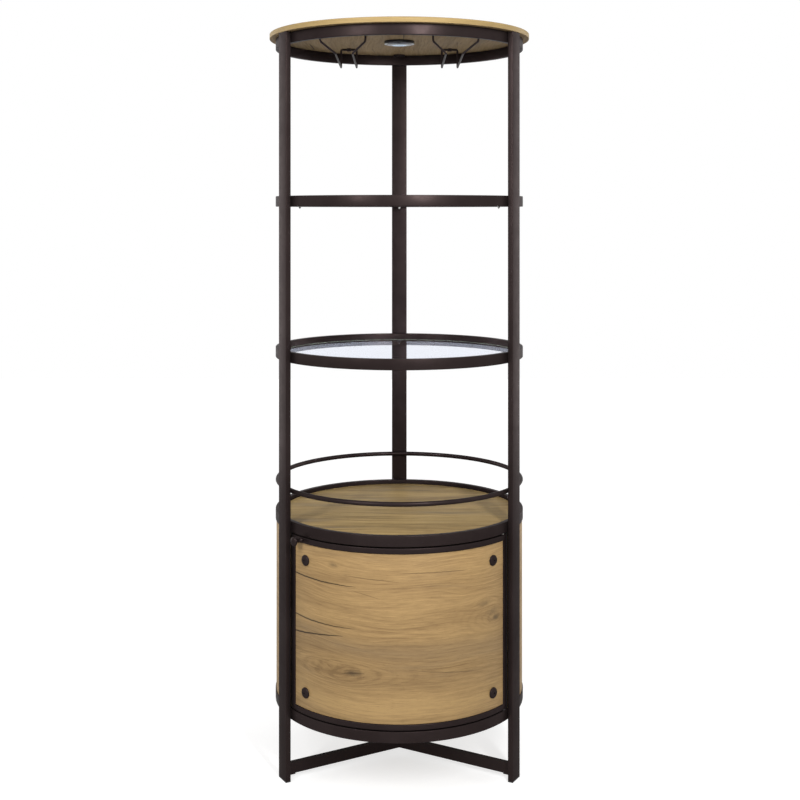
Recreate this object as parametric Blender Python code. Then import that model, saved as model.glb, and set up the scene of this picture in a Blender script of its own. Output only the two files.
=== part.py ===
"""Round wine cabinet with glass shelves, wire stemware racks and a drum with a curved door.

Metres, +Z up. The origin is on the floor, on the axis of the rings. -Y is the front, and +X
is the right-hand side seen from the front. Angles round the axis are in degrees from the
front, positive towards the right. A piece is drawn at the front and turned to its angle.
"""

from math import asin, ceil, cos, degrees, pi, radians, sin

import bmesh
import bpy
from mathutils import Matrix, Vector

# Clearances
FIT_GAP = 0.0003
MERGE_DISTANCE = 0.00001
CUT_OVERRUN = 0.004
JOIN_OVERLAP = 0.002

# Facets of the round forms
FACET_ANGLE = 7.5
FACET_SLACK_SHARE = 0.05
SMOOTH_ANGLE = 35
BEVEL_ANGLE = 40
FINE_STEPS = 24
SMALL_STEPS = 16
TINY_STEPS = 10
ROD_SIDES = 8
NUT_SIDES = 6
ARC_STEPS = 4

# Wood-look top
CABINET_HEIGHT = 1.773
TOP_OVERHANG = 0.002
TOP_THICKNESS = 0.0127
TOP_EDGE_ROUND = 0.0015

# Rolled rectangular rings
RING_RADIUS = 0.305
RING_HEIGHT = 0.0254
RING_DEPTH = 0.0127
RING_EDGE_ROUND = 0.0015

# Heights above the floor of the undersides of the rings and the brace
BRACE_HEIGHT = 0.0127
DRUM_BOTTOM_HEIGHT = 0.1465
DRUM_TOP_HEIGHT = 0.5856
LOWER_SHELF_HEIGHT = 0.982
UPPER_SHELF_HEIGHT = 1.350

# Legs, outside the rings
LEG_ANGLES = {"left": -60, "right": 60, "back": 180}
LEG_WIDTH = 0.040
LEG_DEPTH = 0.0127
LEG_WALL = 0.0015
LEG_EDGE_ROUND = 0.001
GLIDE_THICKNESS = 0.003
GLIDE_PLUG_LENGTH = 0.014

# Brace near the floor
BRACE_TUBE_HEIGHT = 0.0254
BRACE_TUBE_WIDTH = 0.0127
BRACE_EDGE_ROUND = 0.0012
BRACE_TONGUE_LENGTH = 0.018
BRACE_TONGUE_THICKNESS = 0.0025

# Tabs inside the rings
TAB_WIDTH = 0.030
TAB_LENGTH = 0.030
TAB_THICKNESS = 0.0025
TAB_RISE = 0.0005
TAB_CORNER = 0.007
TAB_HOLE_RADIUS = 0.0028
TAB_HOLE_INSET = 0.010

# Cleats that hold the curved sides
CLEAT_ANGLES = (-150, -82.5, 82.5, 150)
CLEAT_WIDTH = 0.022
CLEAT_HEIGHT = 0.020
CLEAT_THICKNESS = 0.0025
CLEAT_CORNER = 0.006

# Glass shelves and the soft bumpers under them
GLASS_THICKNESS = 0.005
GLASS_EDGE_GAP = 0.0015
GLASS_ARRIS = 0.0006
BUMPER_RADIUS = 0.006
BUMPER_THICKNESS = 0.0012
BUMPER_BARB_RADIUS = 0.0036
BUMPER_BARB_LENGTH = 0.0055
BUMPER_POINT_RADIUS = 0.0016

# Round boards of the drum
BOARD_THICKNESS = 0.012
BOARD_EDGE_GAP = 0.001

# Gallery rail
GALLERY_RISE = 0.070
GALLERY_ROD_RADIUS = 0.0055

# Curved sides
SIDE_THICKNESS = 0.005
SIDE_INSET = 0.002
SIDE_EDGE_MARGIN = 0.004
SIDE_JOINT_GAP = 0.001

# Door
DOOR_END_GAP = 0.003
DOOR_LEG_GAP = 0.0045
DOOR_TUBE = 0.0127
DOOR_EDGE_ROUND = 0.0012
DOOR_PANEL_THICKNESS = 0.005
DOOR_PANEL_INSET = 0.002
DOOR_PANEL_GAP = 0.0005
DOOR_PANEL_CORNER = 0.002
GUSSET_WIDTH = 0.052
GUSSET_HEIGHT = 0.050
GUSSET_CLIP = 0.010
GUSSET_THICKNESS = 0.002
BOLT_CORNER_ACROSS = 0.0395
BOLT_CORNER_UP = 0.038
BOLT_HEAD_RADIUS = 0.0125
BOLT_HEAD_HEIGHT = 0.0055
BOLT_RIM_HEIGHT = 0.0016
BOLT_SHANK_RADIUS = 0.003
BOLT_TIP = 0.001
NUT_RADIUS = 0.0065
NUT_HEIGHT = 0.005

# Knob on the door's top rail
KNOB_ANGLE = -48.2
KNOB_HEAD_RADIUS = 0.011
KNOB_HEAD_HEIGHT = 0.008
KNOB_BASE_RADIUS = 0.006
KNOB_NECK_RADIUS = 0.0045
KNOB_REACH = 0.026
KNOB_BASE_HEIGHT = 0.003
KNOB_EDGE_ROUND = 0.003
KNOB_STUD_RADIUS = 0.002
KNOB_STUD_LENGTH = 0.009

# Pivots
PIN_RADIUS = 0.003
PIN_SEAT = 0.009
PIN_ARRIS = 0.0006
WASHER_RADIUS = 0.006
PIN_BORE_SPARE = 0.001

# Magnetic catch
CATCH_FACETS = 5.5
CATCH_WIDTH = 0.040
CATCH_HEIGHT = 0.014
CATCH_DEPTH = 0.018
CATCH_EDGE_ROUND = 0.001
MAGNET_WIDTH = 0.024
MAGNET_HEIGHT = 0.006
MAGNET_DEPTH = 0.008
MAGNET_PROUD = 0.0008
STRIKE_WIDTH = 0.026
STRIKE_HEIGHT = 0.010
STRIKE_THICKNESS = 0.0012
STRIKE_CORNER = 0.002

# Stemware racks, one bent wire each
RACK_OFFSET = 0.1306
RACK_WIRE_RADIUS = 0.0025
RACK_ROD_SPACING = 0.0404
RACK_ROD_HALF_LENGTH = 0.150
RACK_DROP = 0.049
RACK_MOUTH_WIDTH = 0.105
RACK_MOUTH_REACH = 0.065
RACK_MOUTH_RISE = 0.0204
RACK_BEND_RADIUS = 0.008
RACK_LOOP_BEND_RADIUS = 0.004
RACK_BEND_STEPS = 4
RACK_SEAT_DEPTH = 0.008
CLIP_WIDTH = 0.010
CLIP_EAR = 0.008
CLIP_THICKNESS = 0.0015
CLIP_ARC_STEPS = 8

# Round lamp
LAMP_RADIUS = 0.0375
LAMP_HEIGHT = 0.008
LAMP_WALL = 0.0038
LAMP_LIP = 0.002
LAMP_LIP_HEIGHT = 0.0015
LAMP_EDGE_ROUND = 0.001
LAMP_BASE_THICKNESS = 0.002
LAMP_BOARD_RADIUS = 0.020
LAMP_BOARD_THICKNESS = 0.0012
LAMP_SWITCH_RADIUS = 0.0045
LAMP_SWITCH_HEIGHT = 0.0026
LIGHT_SOURCE_RADIUS = 0.0022
LIGHT_SOURCE_HEIGHT = 0.0008
LIGHT_SOURCE_CIRCLE = 0.013
LIGHT_SOURCE_COUNT = 6
LENS_WALL = 0.0012
LENS_FLANGE = 0.0018
LENS_CROWN = 0.0022
LENS_RIM_HEIGHT = 0.0006
LENS_POST_RADIUS = 0.002
LENS_TRAVEL = 0.0015


def facet_face(radius):
    """Return the distance from the axis to the middle of a facet at that radius."""
    return radius * cos(radians(FACET_ANGLE / 2))


# Sizes that follow
TOP_UNDERSIDE = CABINET_HEIGHT - TOP_THICKNESS
APRON_HEIGHT = TOP_UNDERSIDE - FIT_GAP - RING_HEIGHT
RING_INNER_RADIUS = RING_RADIUS - RING_DEPTH
RING_MEAN_RADIUS = RING_RADIUS - RING_DEPTH / 2
LEG_FACE_RADIUS = RING_RADIUS + FIT_GAP
GALLERY_RADIUS = LEG_FACE_RADIUS - FIT_GAP - GALLERY_ROD_RADIUS
TOP_RADIUS = LEG_FACE_RADIUS + LEG_DEPTH + TOP_OVERHANG
GALLERY_HEIGHT = DRUM_TOP_HEIGHT + RING_HEIGHT + GALLERY_RISE
TAB_HOLE_AT = RING_INNER_RADIUS - TAB_LENGTH + TAB_HOLE_INSET
TAB_TOP_RISE = TAB_RISE + TAB_THICKNESS
BOARD_RISE = TAB_TOP_RISE + FIT_GAP
GLASS_RISE = TAB_TOP_RISE + FIT_GAP + BUMPER_THICKNESS + FIT_GAP
SIDE_OUTER_RADIUS = RING_RADIUS - SIDE_INSET
SIDE_INNER_RADIUS = SIDE_OUTER_RADIUS - SIDE_THICKNESS
SIDE_BOTTOM = DRUM_BOTTOM_HEIGHT + RING_HEIGHT + FIT_GAP
SIDE_TOP = DRUM_TOP_HEIGHT - FIT_GAP
FRONT_LEG_ANGLE = LEG_ANGLES["right"]
DOOR_BOTTOM = DRUM_BOTTOM_HEIGHT + RING_HEIGHT + DOOR_END_GAP
DOOR_TOP = DRUM_TOP_HEIGHT - DOOR_END_GAP
DOOR_EDGE_ANGLE = FRONT_LEG_ANGLE - degrees(asin((LEG_WIDTH / 2 + DOOR_LEG_GAP) / RING_RADIUS))
STILE_ANGLE = degrees(DOOR_TUBE / RING_MEAN_RADIUS)
HINGE_ANGLE = DOOR_EDGE_ANGLE - STILE_ANGLE / 2
DOOR_WINDOW_ANGLE = DOOR_EDGE_ANGLE - STILE_ANGLE
DOOR_PANEL_RADIUS = RING_RADIUS - DOOR_PANEL_INSET
DOOR_PANEL_INNER_RADIUS = DOOR_PANEL_RADIUS - DOOR_PANEL_THICKNESS
GUSSET_RADIUS = facet_face(DOOR_PANEL_INNER_RADIUS) - FIT_GAP
BOLT_ANGLE = DOOR_WINDOW_ANGLE - degrees(BOLT_CORNER_ACROSS / DOOR_PANEL_RADIUS)
BOLT_HEIGHTS = (DOOR_BOTTOM + DOOR_TUBE + BOLT_CORNER_UP, DOOR_TOP - DOOR_TUBE - BOLT_CORNER_UP)
RAIL_CENTRE_HEIGHT = DOOR_TOP - DOOR_TUBE / 2
CATCH_ANGLE = -CATCH_FACETS * FACET_ANGLE
RING_STEPS = round(360 / FACET_ANGLE)


def polar(radius, angle, height=0.0):
    """Return the point at a radius, an angle from the front and a height."""
    turn = radians(angle)
    return Vector((radius * sin(turn), -radius * cos(turn), height))


def facet_angles(start, end):
    """Return start, each whole facet between, and end, all in degrees."""
    first = ceil(start / FACET_ANGLE + FACET_SLACK_SHARE)
    last = ceil(end / FACET_ANGLE - FACET_SLACK_SHARE)
    return [start] + [FACET_ANGLE * index for index in range(first, last)] + [end]


# Materials


def make_material(name, colour, roughness, metallic=0.0, transmission=0.0, glow=0.0):
    """Return a plain Principled material."""
    material = bpy.data.materials.new(name)
    material.use_nodes = True
    shader = material.node_tree.nodes["Principled BSDF"]
    shader.inputs["Base Color"].default_value = (*colour, 1.0)
    shader.inputs["Roughness"].default_value = roughness
    shader.inputs["Metallic"].default_value = metallic
    shader.inputs["Transmission Weight"].default_value = transmission
    shader.inputs["Emission Color"].default_value = (*colour, 1.0)
    shader.inputs["Emission Strength"].default_value = glow
    material.diffuse_color = (*colour, 1.0)
    return material


def make_materials():
    """Return the cabinet's finishes by name."""
    return {
        "bronze": make_material("bronze_paint", (0.042, 0.033, 0.030), 0.42, metallic=0.6),
        "oak": make_material("oak_laminate", (0.45, 0.31, 0.15), 0.5),
        "glass": make_material("clear_glass", (0.86, 0.93, 0.91), 0.03, transmission=1.0),
        "soft": make_material("soft_plastic", (0.55, 0.55, 0.53), 0.45),
        "black": make_material("black_plastic", (0.012, 0.012, 0.012), 0.5),
        "steel": make_material("bright_steel", (0.56, 0.55, 0.53), 0.35, metallic=1.0),
        "lens": make_material("lamp_lens", (0.72, 0.82, 0.90), 0.3, glow=0.6),
        "board": make_material("lamp_board", (0.80, 0.80, 0.78), 0.6),
    }


# Shapes


def finish_mesh(name, mesh_builder):
    """Close a bmesh into a mesh with outward faces, smooth where it is round."""
    bmesh.ops.recalc_face_normals(mesh_builder, faces=mesh_builder.faces)
    mesh = bpy.data.meshes.new(name)
    mesh_builder.to_mesh(mesh)
    mesh_builder.free()
    mesh.shade_smooth()
    mesh.set_sharp_from_angle(angle=radians(SMOOTH_ANGLE))
    return mesh


def add_object(name, mesh_builder, material=None, height=0.0, angle=0.0):
    """Link a new object, lifted to a height and turned to an angle from the front."""
    placed = bpy.data.objects.new(name, finish_mesh(name, mesh_builder))
    bpy.context.scene.collection.objects.link(placed)
    placed.location.z = height
    placed.rotation_euler.z = radians(angle)
    if material:
        placed.data.materials.append(material)
    return placed


def ring_section():
    """Return the section of the rings' tube, with its two outer corners eased."""
    eased = RING_RADIUS - RING_EDGE_ROUND
    return [
        (RING_INNER_RADIUS, 0.0), (eased, 0.0), (RING_RADIUS, RING_EDGE_ROUND),
        (RING_RADIUS, RING_HEIGHT - RING_EDGE_ROUND), (eased, RING_HEIGHT), (RING_INNER_RADIUS, RING_HEIGHT),
    ]


def turn_outline(outline, steps, ring=False):
    """Spin (radius, height) points about Z: a ring, or a solid closed by flat ends."""
    builder = bmesh.new()
    verts = [builder.verts.new((0.0, -radius, height)) for radius, height in outline]
    edges = [builder.edges.new(pair) for pair in zip(verts, verts[1:])]
    if ring:
        edges.append(builder.edges.new((verts[-1], verts[0])))
    bmesh.ops.spin(
        builder, geom=verts + edges, axis=(0, 0, 1), cent=(0, 0, 0),
        steps=steps, angle=2 * pi, use_merge=True,
    )
    bmesh.ops.remove_doubles(builder, verts=builder.verts, dist=MERGE_DISTANCE)
    open_edges = [edge for edge in builder.edges if edge.is_boundary]
    if open_edges:
        bmesh.ops.holes_fill(builder, edges=open_edges)
    return builder


def add_disc(builder, radius, low, high, steps, at=(0.0, 0.0)):
    """Add a plain upright cylinder to a bmesh."""
    place = Matrix.Translation((at[0], at[1], (low + high) / 2))
    bmesh.ops.create_cone(
        builder, cap_ends=True, segments=steps, radius1=radius, radius2=radius,
        depth=high - low, matrix=place,
    )


def add_box(builder, low, high, turn=0.0):
    """Add a box between two corners, turned about Z by an angle from the front."""
    low = Vector(low)
    high = Vector(high)
    place = Matrix.Rotation(radians(turn), 4, "Z") @ Matrix.Translation((low + high) / 2)
    return bmesh.ops.create_cube(builder, size=1.0, matrix=place @ Matrix.Diagonal((*(high - low), 1.0)))


def add_prism(builder, outline, thickness, turn=0.0):
    """Add a flat outline of 3-D points, extruded by a vector, then turned about Z."""
    face = builder.faces.new([builder.verts.new(point) for point in outline])
    grown = bmesh.ops.extrude_face_region(builder, geom=[face], use_keep_orig=True)
    lifted = [item for item in grown["geom"] if isinstance(item, bmesh.types.BMVert)]
    bmesh.ops.translate(builder, verts=lifted, vec=thickness)
    both = list(face.verts) + lifted
    bmesh.ops.rotate(builder, verts=both, cent=(0, 0, 0), matrix=Matrix.Rotation(radians(turn), 3, "Z"))


def add_bent_plate(builder, columns, outer, inner, is_open=None):
    """Add a plate bent about Z from (angle, heights) columns, less the cells that are open."""
    grid = [[builder.verts.new(polar(outer, angle, z)) for z in heights] for angle, heights in columns]
    faces = []
    for column, (left, right) in enumerate(zip(grid, grid[1:])):
        for row in range(len(left) - 1):
            if is_open and is_open(column, row):
                continue
            faces.append(builder.faces.new((left[row], right[row], right[row + 1], left[row + 1])))
    grown = bmesh.ops.extrude_face_region(builder, geom=faces, use_keep_orig=True)
    moved = [item for item in grown["geom"] if isinstance(item, bmesh.types.BMVert)]
    share = inner / outer
    bmesh.ops.scale(builder, verts=moved, vec=(share, share, 1.0))


def level_columns(angles, low, high):
    """Return the columns of a bent plate with level edges."""
    return [(angle, (low, high)) for angle in angles]


def soften(part, width, segments=1):
    """Round a part's sharp edges."""
    bevel = part.modifiers.new("edge_round", "BEVEL")
    bevel.width = width
    bevel.segments = segments
    bevel.limit_method = "ANGLE"
    bevel.angle_limit = radians(BEVEL_ANGLE)


def combine(part, name, mesh_builder, operation, height=0.0, angle=0.0):
    """Join a hidden tool to a part, or cut it out, and return the tool."""
    tool = add_object(name, mesh_builder, height=height, angle=angle)
    tool.hide_render = True
    tool.display_type = "WIRE"
    change = part.modifiers.new(name, "BOOLEAN")
    change.operation = operation
    change.solver = "EXACT"
    change.object = tool
    return tool


def radial_cylinders(places, steps):
    """Return rods that point at the axis, from (radius, inner, outer, angle, height) places."""
    builder = bmesh.new()
    for radius, inner, outer, angle, height in places:
        upright = Matrix.Rotation(pi / 2, 4, "X")
        shift = Matrix.Translation(polar((inner + outer) / 2, angle, height))
        place = shift @ Matrix.Rotation(radians(angle), 4, "Z") @ upright
        bmesh.ops.create_cone(
            builder, cap_ends=True, segments=steps, radius1=radius, radius2=radius,
            depth=outer - inner, matrix=place,
        )
    return builder


def stand_radially(part, radius, angle, height):
    """Point a turned part's +Z away from the cabinet's axis at a radius, angle and height."""
    part.location = polar(radius, angle, height)
    part.rotation_euler = (pi / 2, 0.0, radians(angle))


# Rings and what is welded to them


def tab_outline(height):
    """Return the outline of a tab, with its two free corners cut off."""
    root = -(RING_INNER_RADIUS + JOIN_OVERLAP)
    tip = -(RING_INNER_RADIUS - TAB_LENGTH)
    half = TAB_WIDTH / 2
    return [
        (-half, root, height), (half, root, height), (half, tip - TAB_CORNER, height),
        (half - TAB_CORNER, tip, height), (TAB_CORNER - half, tip, height),
        (-half, tip - TAB_CORNER, height),
    ]


def tabs(rise):
    """Return the three tabs of a ring, one beside each leg."""
    builder = bmesh.new()
    for angle in LEG_ANGLES.values():
        add_prism(builder, tab_outline(rise), (0, 0, TAB_THICKNESS), turn=angle)
    return builder


def tab_holes(rise):
    """Return the cutters for the screw or bumper hole in each tab."""
    builder = bmesh.new()
    low = rise - CUT_OVERRUN
    high = rise + TAB_THICKNESS + CUT_OVERRUN
    for angle in LEG_ANGLES.values():
        place = polar(TAB_HOLE_AT, angle)
        add_disc(builder, TAB_HOLE_RADIUS, low, high, TINY_STEPS, at=(place.x, place.y))
    return builder


def make_ring(name, height, material, tab_rise=TAB_RISE):
    """Roll one ring and weld its three tabs in."""
    ring = add_object(name, turn_outline(ring_section(), RING_STEPS, ring=True), material, height)
    combine(ring, name + "_tabs", tabs(tab_rise), "UNION", height)
    combine(ring, name + "_tab_holes", tab_holes(tab_rise), "DIFFERENCE", height)
    return ring


def cleats(low, high):
    """Return the upright cleats that the curved sides are screwed to."""
    builder = bmesh.new()
    face = FIT_GAP - facet_face(SIDE_INNER_RADIUS)
    half = CLEAT_WIDTH / 2
    root, tip = (low, high) if low < 0 else (high, low)
    step = CLEAT_CORNER if root < tip else -CLEAT_CORNER
    outline = [
        (-half, face, root), (half, face, root), (half, face, tip - step),
        (half - CLEAT_CORNER, face, tip), (CLEAT_CORNER - half, face, tip), (-half, face, tip - step),
    ]
    for angle in CLEAT_ANGLES:
        add_prism(builder, outline, (0, CLEAT_THICKNESS, 0), turn=angle)
    return builder


def pin_bore(name, part, low, high):
    """Cut the bore for a hinge pin."""
    builder = bmesh.new()
    add_disc(builder, PIN_RADIUS + FIT_GAP, low, high, SMALL_STEPS)
    tool = combine(part, name, builder, "DIFFERENCE")
    tool.location = polar(RING_MEAN_RADIUS, HINGE_ANGLE)


def make_rings(finish):
    """Make the five rings, with cleats and pin bores on the drum's two."""
    make_ring("top_ring", APRON_HEIGHT, finish, tab_rise=RING_HEIGHT - TAB_TOP_RISE)
    make_ring("shelf_ring_upper", UPPER_SHELF_HEIGHT, finish)
    make_ring("shelf_ring_lower", LOWER_SHELF_HEIGHT, finish)
    upper = make_ring("drum_top_ring", DRUM_TOP_HEIGHT, finish)
    lower = make_ring("drum_bottom_ring", DRUM_BOTTOM_HEIGHT, finish)
    hanging = cleats(JOIN_OVERLAP, -CLEAT_HEIGHT)
    standing = cleats(-JOIN_OVERLAP, CLEAT_HEIGHT)
    combine(upper, "drum_top_cleats", hanging, "UNION", DRUM_TOP_HEIGHT)
    combine(lower, "drum_bottom_cleats", standing, "UNION", DRUM_BOTTOM_HEIGHT + RING_HEIGHT)
    top_bore_end = DRUM_TOP_HEIGHT + PIN_SEAT + PIN_BORE_SPARE
    bottom_bore_end = DRUM_BOTTOM_HEIGHT + RING_HEIGHT - PIN_SEAT - PIN_BORE_SPARE
    pin_bore("drum_top_pin_bore", upper, DRUM_TOP_HEIGHT - CUT_OVERRUN, top_bore_end)
    pin_bore("drum_bottom_pin_bore", lower, bottom_bore_end, DOOR_BOTTOM)


# Boards and glass


def make_round_plate(name, radius, thickness, height, material, bottom_arris=0.0, top_arris=0.0):
    """Make a round board or pane whose edges are eased where an arris is given."""
    outline = [(radius, bottom_arris), (radius, thickness - top_arris)]
    if bottom_arris:
        outline.insert(0, (radius - bottom_arris, 0.0))
    if top_arris:
        outline.append((radius - top_arris, thickness))
    return add_object(name, turn_outline(outline, RING_STEPS), material, height)


def make_boards(materials):
    """Make the top, the drum's top board and its floor."""
    oak = materials["oak"]
    top = make_round_plate(
        "top_panel", TOP_RADIUS, TOP_THICKNESS, TOP_UNDERSIDE, oak,
        bottom_arris=TOP_EDGE_ROUND, top_arris=TOP_EDGE_ROUND,
    )
    combine(top, "top_rack_bores", rack_bores(), "DIFFERENCE", TOP_UNDERSIDE)
    radius = RING_INNER_RADIUS - BOARD_EDGE_GAP
    for name, height in (("drum_top_panel", DRUM_TOP_HEIGHT), ("drum_floor_panel", DRUM_BOTTOM_HEIGHT)):
        make_round_plate(name, radius, BOARD_THICKNESS, height + BOARD_RISE, oak)


def bumper_outline():
    """Return the turned outline of a push-in bumper, from its point to its top."""
    neck = TAB_HOLE_RADIUS - FIT_GAP
    under_tab = -TAB_THICKNESS - FIT_GAP - FIT_GAP
    return [
        (BUMPER_POINT_RADIUS, under_tab - BUMPER_BARB_LENGTH), (BUMPER_BARB_RADIUS, under_tab),
        (neck, under_tab), (neck, 0.0), (BUMPER_RADIUS, 0.0), (BUMPER_RADIUS, BUMPER_THICKNESS),
    ]


def make_shelves(materials):
    """Make both glass shelves and the bumpers that they lie on."""
    radius = RING_INNER_RADIUS - GLASS_EDGE_GAP
    for level, height in (("upper", UPPER_SHELF_HEIGHT), ("lower", LOWER_SHELF_HEIGHT)):
        make_round_plate(
            "glass_shelf_" + level, radius, GLASS_THICKNESS, height + GLASS_RISE, materials["glass"],
            top_arris=GLASS_ARRIS,
        )
        for side, angle in LEG_ANGLES.items():
            builder = turn_outline(bumper_outline(), TINY_STEPS)
            bumper = add_object(f"shelf_bumper_{level}_{side}", builder, materials["soft"])
            bumper.location = polar(TAB_HOLE_AT, angle, height + BOARD_RISE)


# Legs, glides and brace


def rounded_rectangle(width, depth, corner, height):
    """Return the corners of a rectangle with each corner cut off, at one height."""
    x = width / 2
    y = depth / 2
    return [
        (corner - x, -y, height), (x - corner, -y, height), (x, corner - y, height), (x, y - corner, height),
        (x - corner, y, height), (corner - x, y, height), (-x, y - corner, height), (-x, corner - y, height),
    ]


def leg_tube(length):
    """Return an open rectangular tube that stands on its end."""
    builder = bmesh.new()
    bore_corner = LEG_EDGE_ROUND / 2
    inner_size = (LEG_WIDTH - 2 * LEG_WALL, LEG_DEPTH - 2 * LEG_WALL)
    loops = []
    for outline in (
        rounded_rectangle(LEG_WIDTH, LEG_DEPTH, LEG_EDGE_ROUND, 0.0),
        rounded_rectangle(*inner_size, bore_corner, 0.0),
    ):
        verts = [builder.verts.new(point) for point in outline]
        loops += [builder.edges.new(pair) for pair in zip(verts, verts[1:] + verts[:1])]
    end = bmesh.ops.bridge_loops(builder, edges=loops)["faces"]
    grown = bmesh.ops.extrude_face_region(builder, geom=end, use_keep_orig=True)
    top = [item for item in grown["geom"] if isinstance(item, bmesh.types.BMVert)]
    bmesh.ops.translate(builder, verts=top, vec=(0, 0, length))
    return builder


def glide_plate():
    """Return the plate of a foot glide, as wide as the leg."""
    builder = bmesh.new()
    outline = rounded_rectangle(LEG_WIDTH, LEG_DEPTH, LEG_EDGE_ROUND, 0.0)
    add_prism(builder, outline, (0, 0, GLIDE_THICKNESS))
    return builder


def make_legs(materials):
    """Make the three legs with a glide in each open foot."""
    centre_radius = LEG_FACE_RADIUS + LEG_DEPTH / 2
    foot = GLIDE_THICKNESS + FIT_GAP
    plug_gap = LEG_WALL + FIT_GAP
    plug = (LEG_WIDTH - 2 * plug_gap, LEG_DEPTH - 2 * plug_gap, LEG_EDGE_ROUND / 2)
    for side, angle in LEG_ANGLES.items():
        leg = add_object("leg_" + side, leg_tube(TOP_UNDERSIDE - FIT_GAP - foot), materials["bronze"])
        leg.location = polar(centre_radius, angle, foot)
        leg.rotation_euler.z = radians(angle)
        glide = add_object("foot_glide_" + side, glide_plate(), materials["black"])
        glide.location = polar(centre_radius, angle)
        glide.rotation_euler.z = radians(angle)
        builder = bmesh.new()
        stub = rounded_rectangle(*plug, GLIDE_THICKNESS / 2)
        add_prism(builder, stub, (0, 0, GLIDE_THICKNESS / 2 + GLIDE_PLUG_LENGTH))
        tool = combine(glide, f"foot_glide_{side}_plug", builder, "UNION")
        tool.location = glide.location
        tool.rotation_euler = glide.rotation_euler


def brace_arm():
    """Return one arm from the centre to a leg, with the tongue under its end."""
    builder = bmesh.new()
    end = -(LEG_FACE_RADIUS - FIT_GAP)
    half = -BRACE_TUBE_WIDTH / 2
    tongue = end + BRACE_TONGUE_LENGTH
    outline = [
        (half, 0.0, 0.0), (half, tongue, 0.0), (half, tongue, -BRACE_TONGUE_THICKNESS),
        (half, end, -BRACE_TONGUE_THICKNESS), (half, end, BRACE_TUBE_HEIGHT), (half, 0.0, BRACE_TUBE_HEIGHT),
    ]
    add_prism(builder, outline, (BRACE_TUBE_WIDTH, 0, 0))
    return builder


def make_brace(material):
    """Make the three-armed brace and join its arms in the middle."""
    arms = []
    for side, angle in LEG_ANGLES.items():
        arm = add_object("base_brace_" + side, brace_arm(), material, BRACE_HEIGHT, angle)
        soften(arm, BRACE_EDGE_ROUND)
        arms.append(arm)
    brace = arms.pop()
    brace.name = "base_brace"
    for arm in arms:
        arm.hide_render = True
        arm.display_type = "WIRE"
        joint = brace.modifiers.new(arm.name, "BOOLEAN")
        joint.operation = "UNION"
        joint.solver = "EXACT"
        joint.object = arm


# Gallery rail and curved sides


def make_gallery_rail(material):
    """Make the round rail, which lies against the legs as the rings do."""
    outline = []
    for index in range(ROD_SIDES):
        turn = 2 * pi * index / ROD_SIDES
        outline.append((GALLERY_RADIUS + GALLERY_ROD_RADIUS * cos(turn), GALLERY_ROD_RADIUS * sin(turn)))
    add_object("gallery_rail", turn_outline(outline, RING_STEPS, ring=True), material, GALLERY_HEIGHT)


def make_sides(material):
    """Make the two curved sides, from behind a front leg to the middle of the back leg."""
    start = FRONT_LEG_ANGLE - degrees((LEG_WIDTH / 2 - SIDE_EDGE_MARGIN) / RING_RADIUS)
    end = LEG_ANGLES["back"] - degrees(SIDE_JOINT_GAP / 2 / RING_RADIUS)
    for side, sign in (("left", -1), ("right", 1)):
        angles = [sign * angle for angle in facet_angles(start, end)]
        builder = bmesh.new()
        columns = level_columns(angles, SIDE_BOTTOM, SIDE_TOP)
        add_bent_plate(builder, columns, SIDE_OUTER_RADIUS, SIDE_INNER_RADIUS)
        add_object("side_panel_" + side, builder, material)


# Door


def door_frame_grid():
    """Return the bent frame: a grid of cells whose middle is the window."""
    heights = (DOOR_BOTTOM, DOOR_BOTTOM + DOOR_TUBE, DOOR_TOP - DOOR_TUBE, DOOR_TOP)
    window = facet_angles(-DOOR_WINDOW_ANGLE, DOOR_WINDOW_ANGLE)
    columns = [(angle, heights) for angle in [-DOOR_EDGE_ANGLE, *window, DOOR_EDGE_ANGLE]]
    last = len(columns) - 2
    builder = bmesh.new()
    add_bent_plate(
        builder, columns, RING_RADIUS, RING_INNER_RADIUS,
        is_open=lambda column, row: row == 1 and 0 < column < last,
    )
    return builder


def gussets():
    """Return the four corner plates that the panel is bolted to."""
    builder = bmesh.new()
    root = DOOR_WINDOW_ANGLE + degrees(JOIN_OVERLAP / RING_RADIUS)
    tip = DOOR_WINDOW_ANGLE - degrees(GUSSET_WIDTH / RING_RADIUS)
    clip = tip + degrees(GUSSET_CLIP / RING_RADIUS)
    for sign in (-1, 1):
        for base, up in ((DOOR_BOTTOM + DOOR_TUBE, 1), (DOOR_TOP - DOOR_TUBE, -1)):
            columns = []
            for angle in [tip, *facet_angles(clip, root)]:
                reach = GUSSET_HEIGHT - (GUSSET_CLIP if angle == tip else 0.0)
                columns.append((sign * angle, (base - up * JOIN_OVERLAP, base + up * reach)))
            add_bent_plate(builder, columns, GUSSET_RADIUS, GUSSET_RADIUS - GUSSET_THICKNESS)
    return builder


def bolt_places(radius, inner, outer):
    """Return the four bolt positions as radial rods."""
    return [
        (radius, inner, outer, sign * BOLT_ANGLE, height)
        for sign in (-1, 1)
        for height in BOLT_HEIGHTS
    ]


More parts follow.
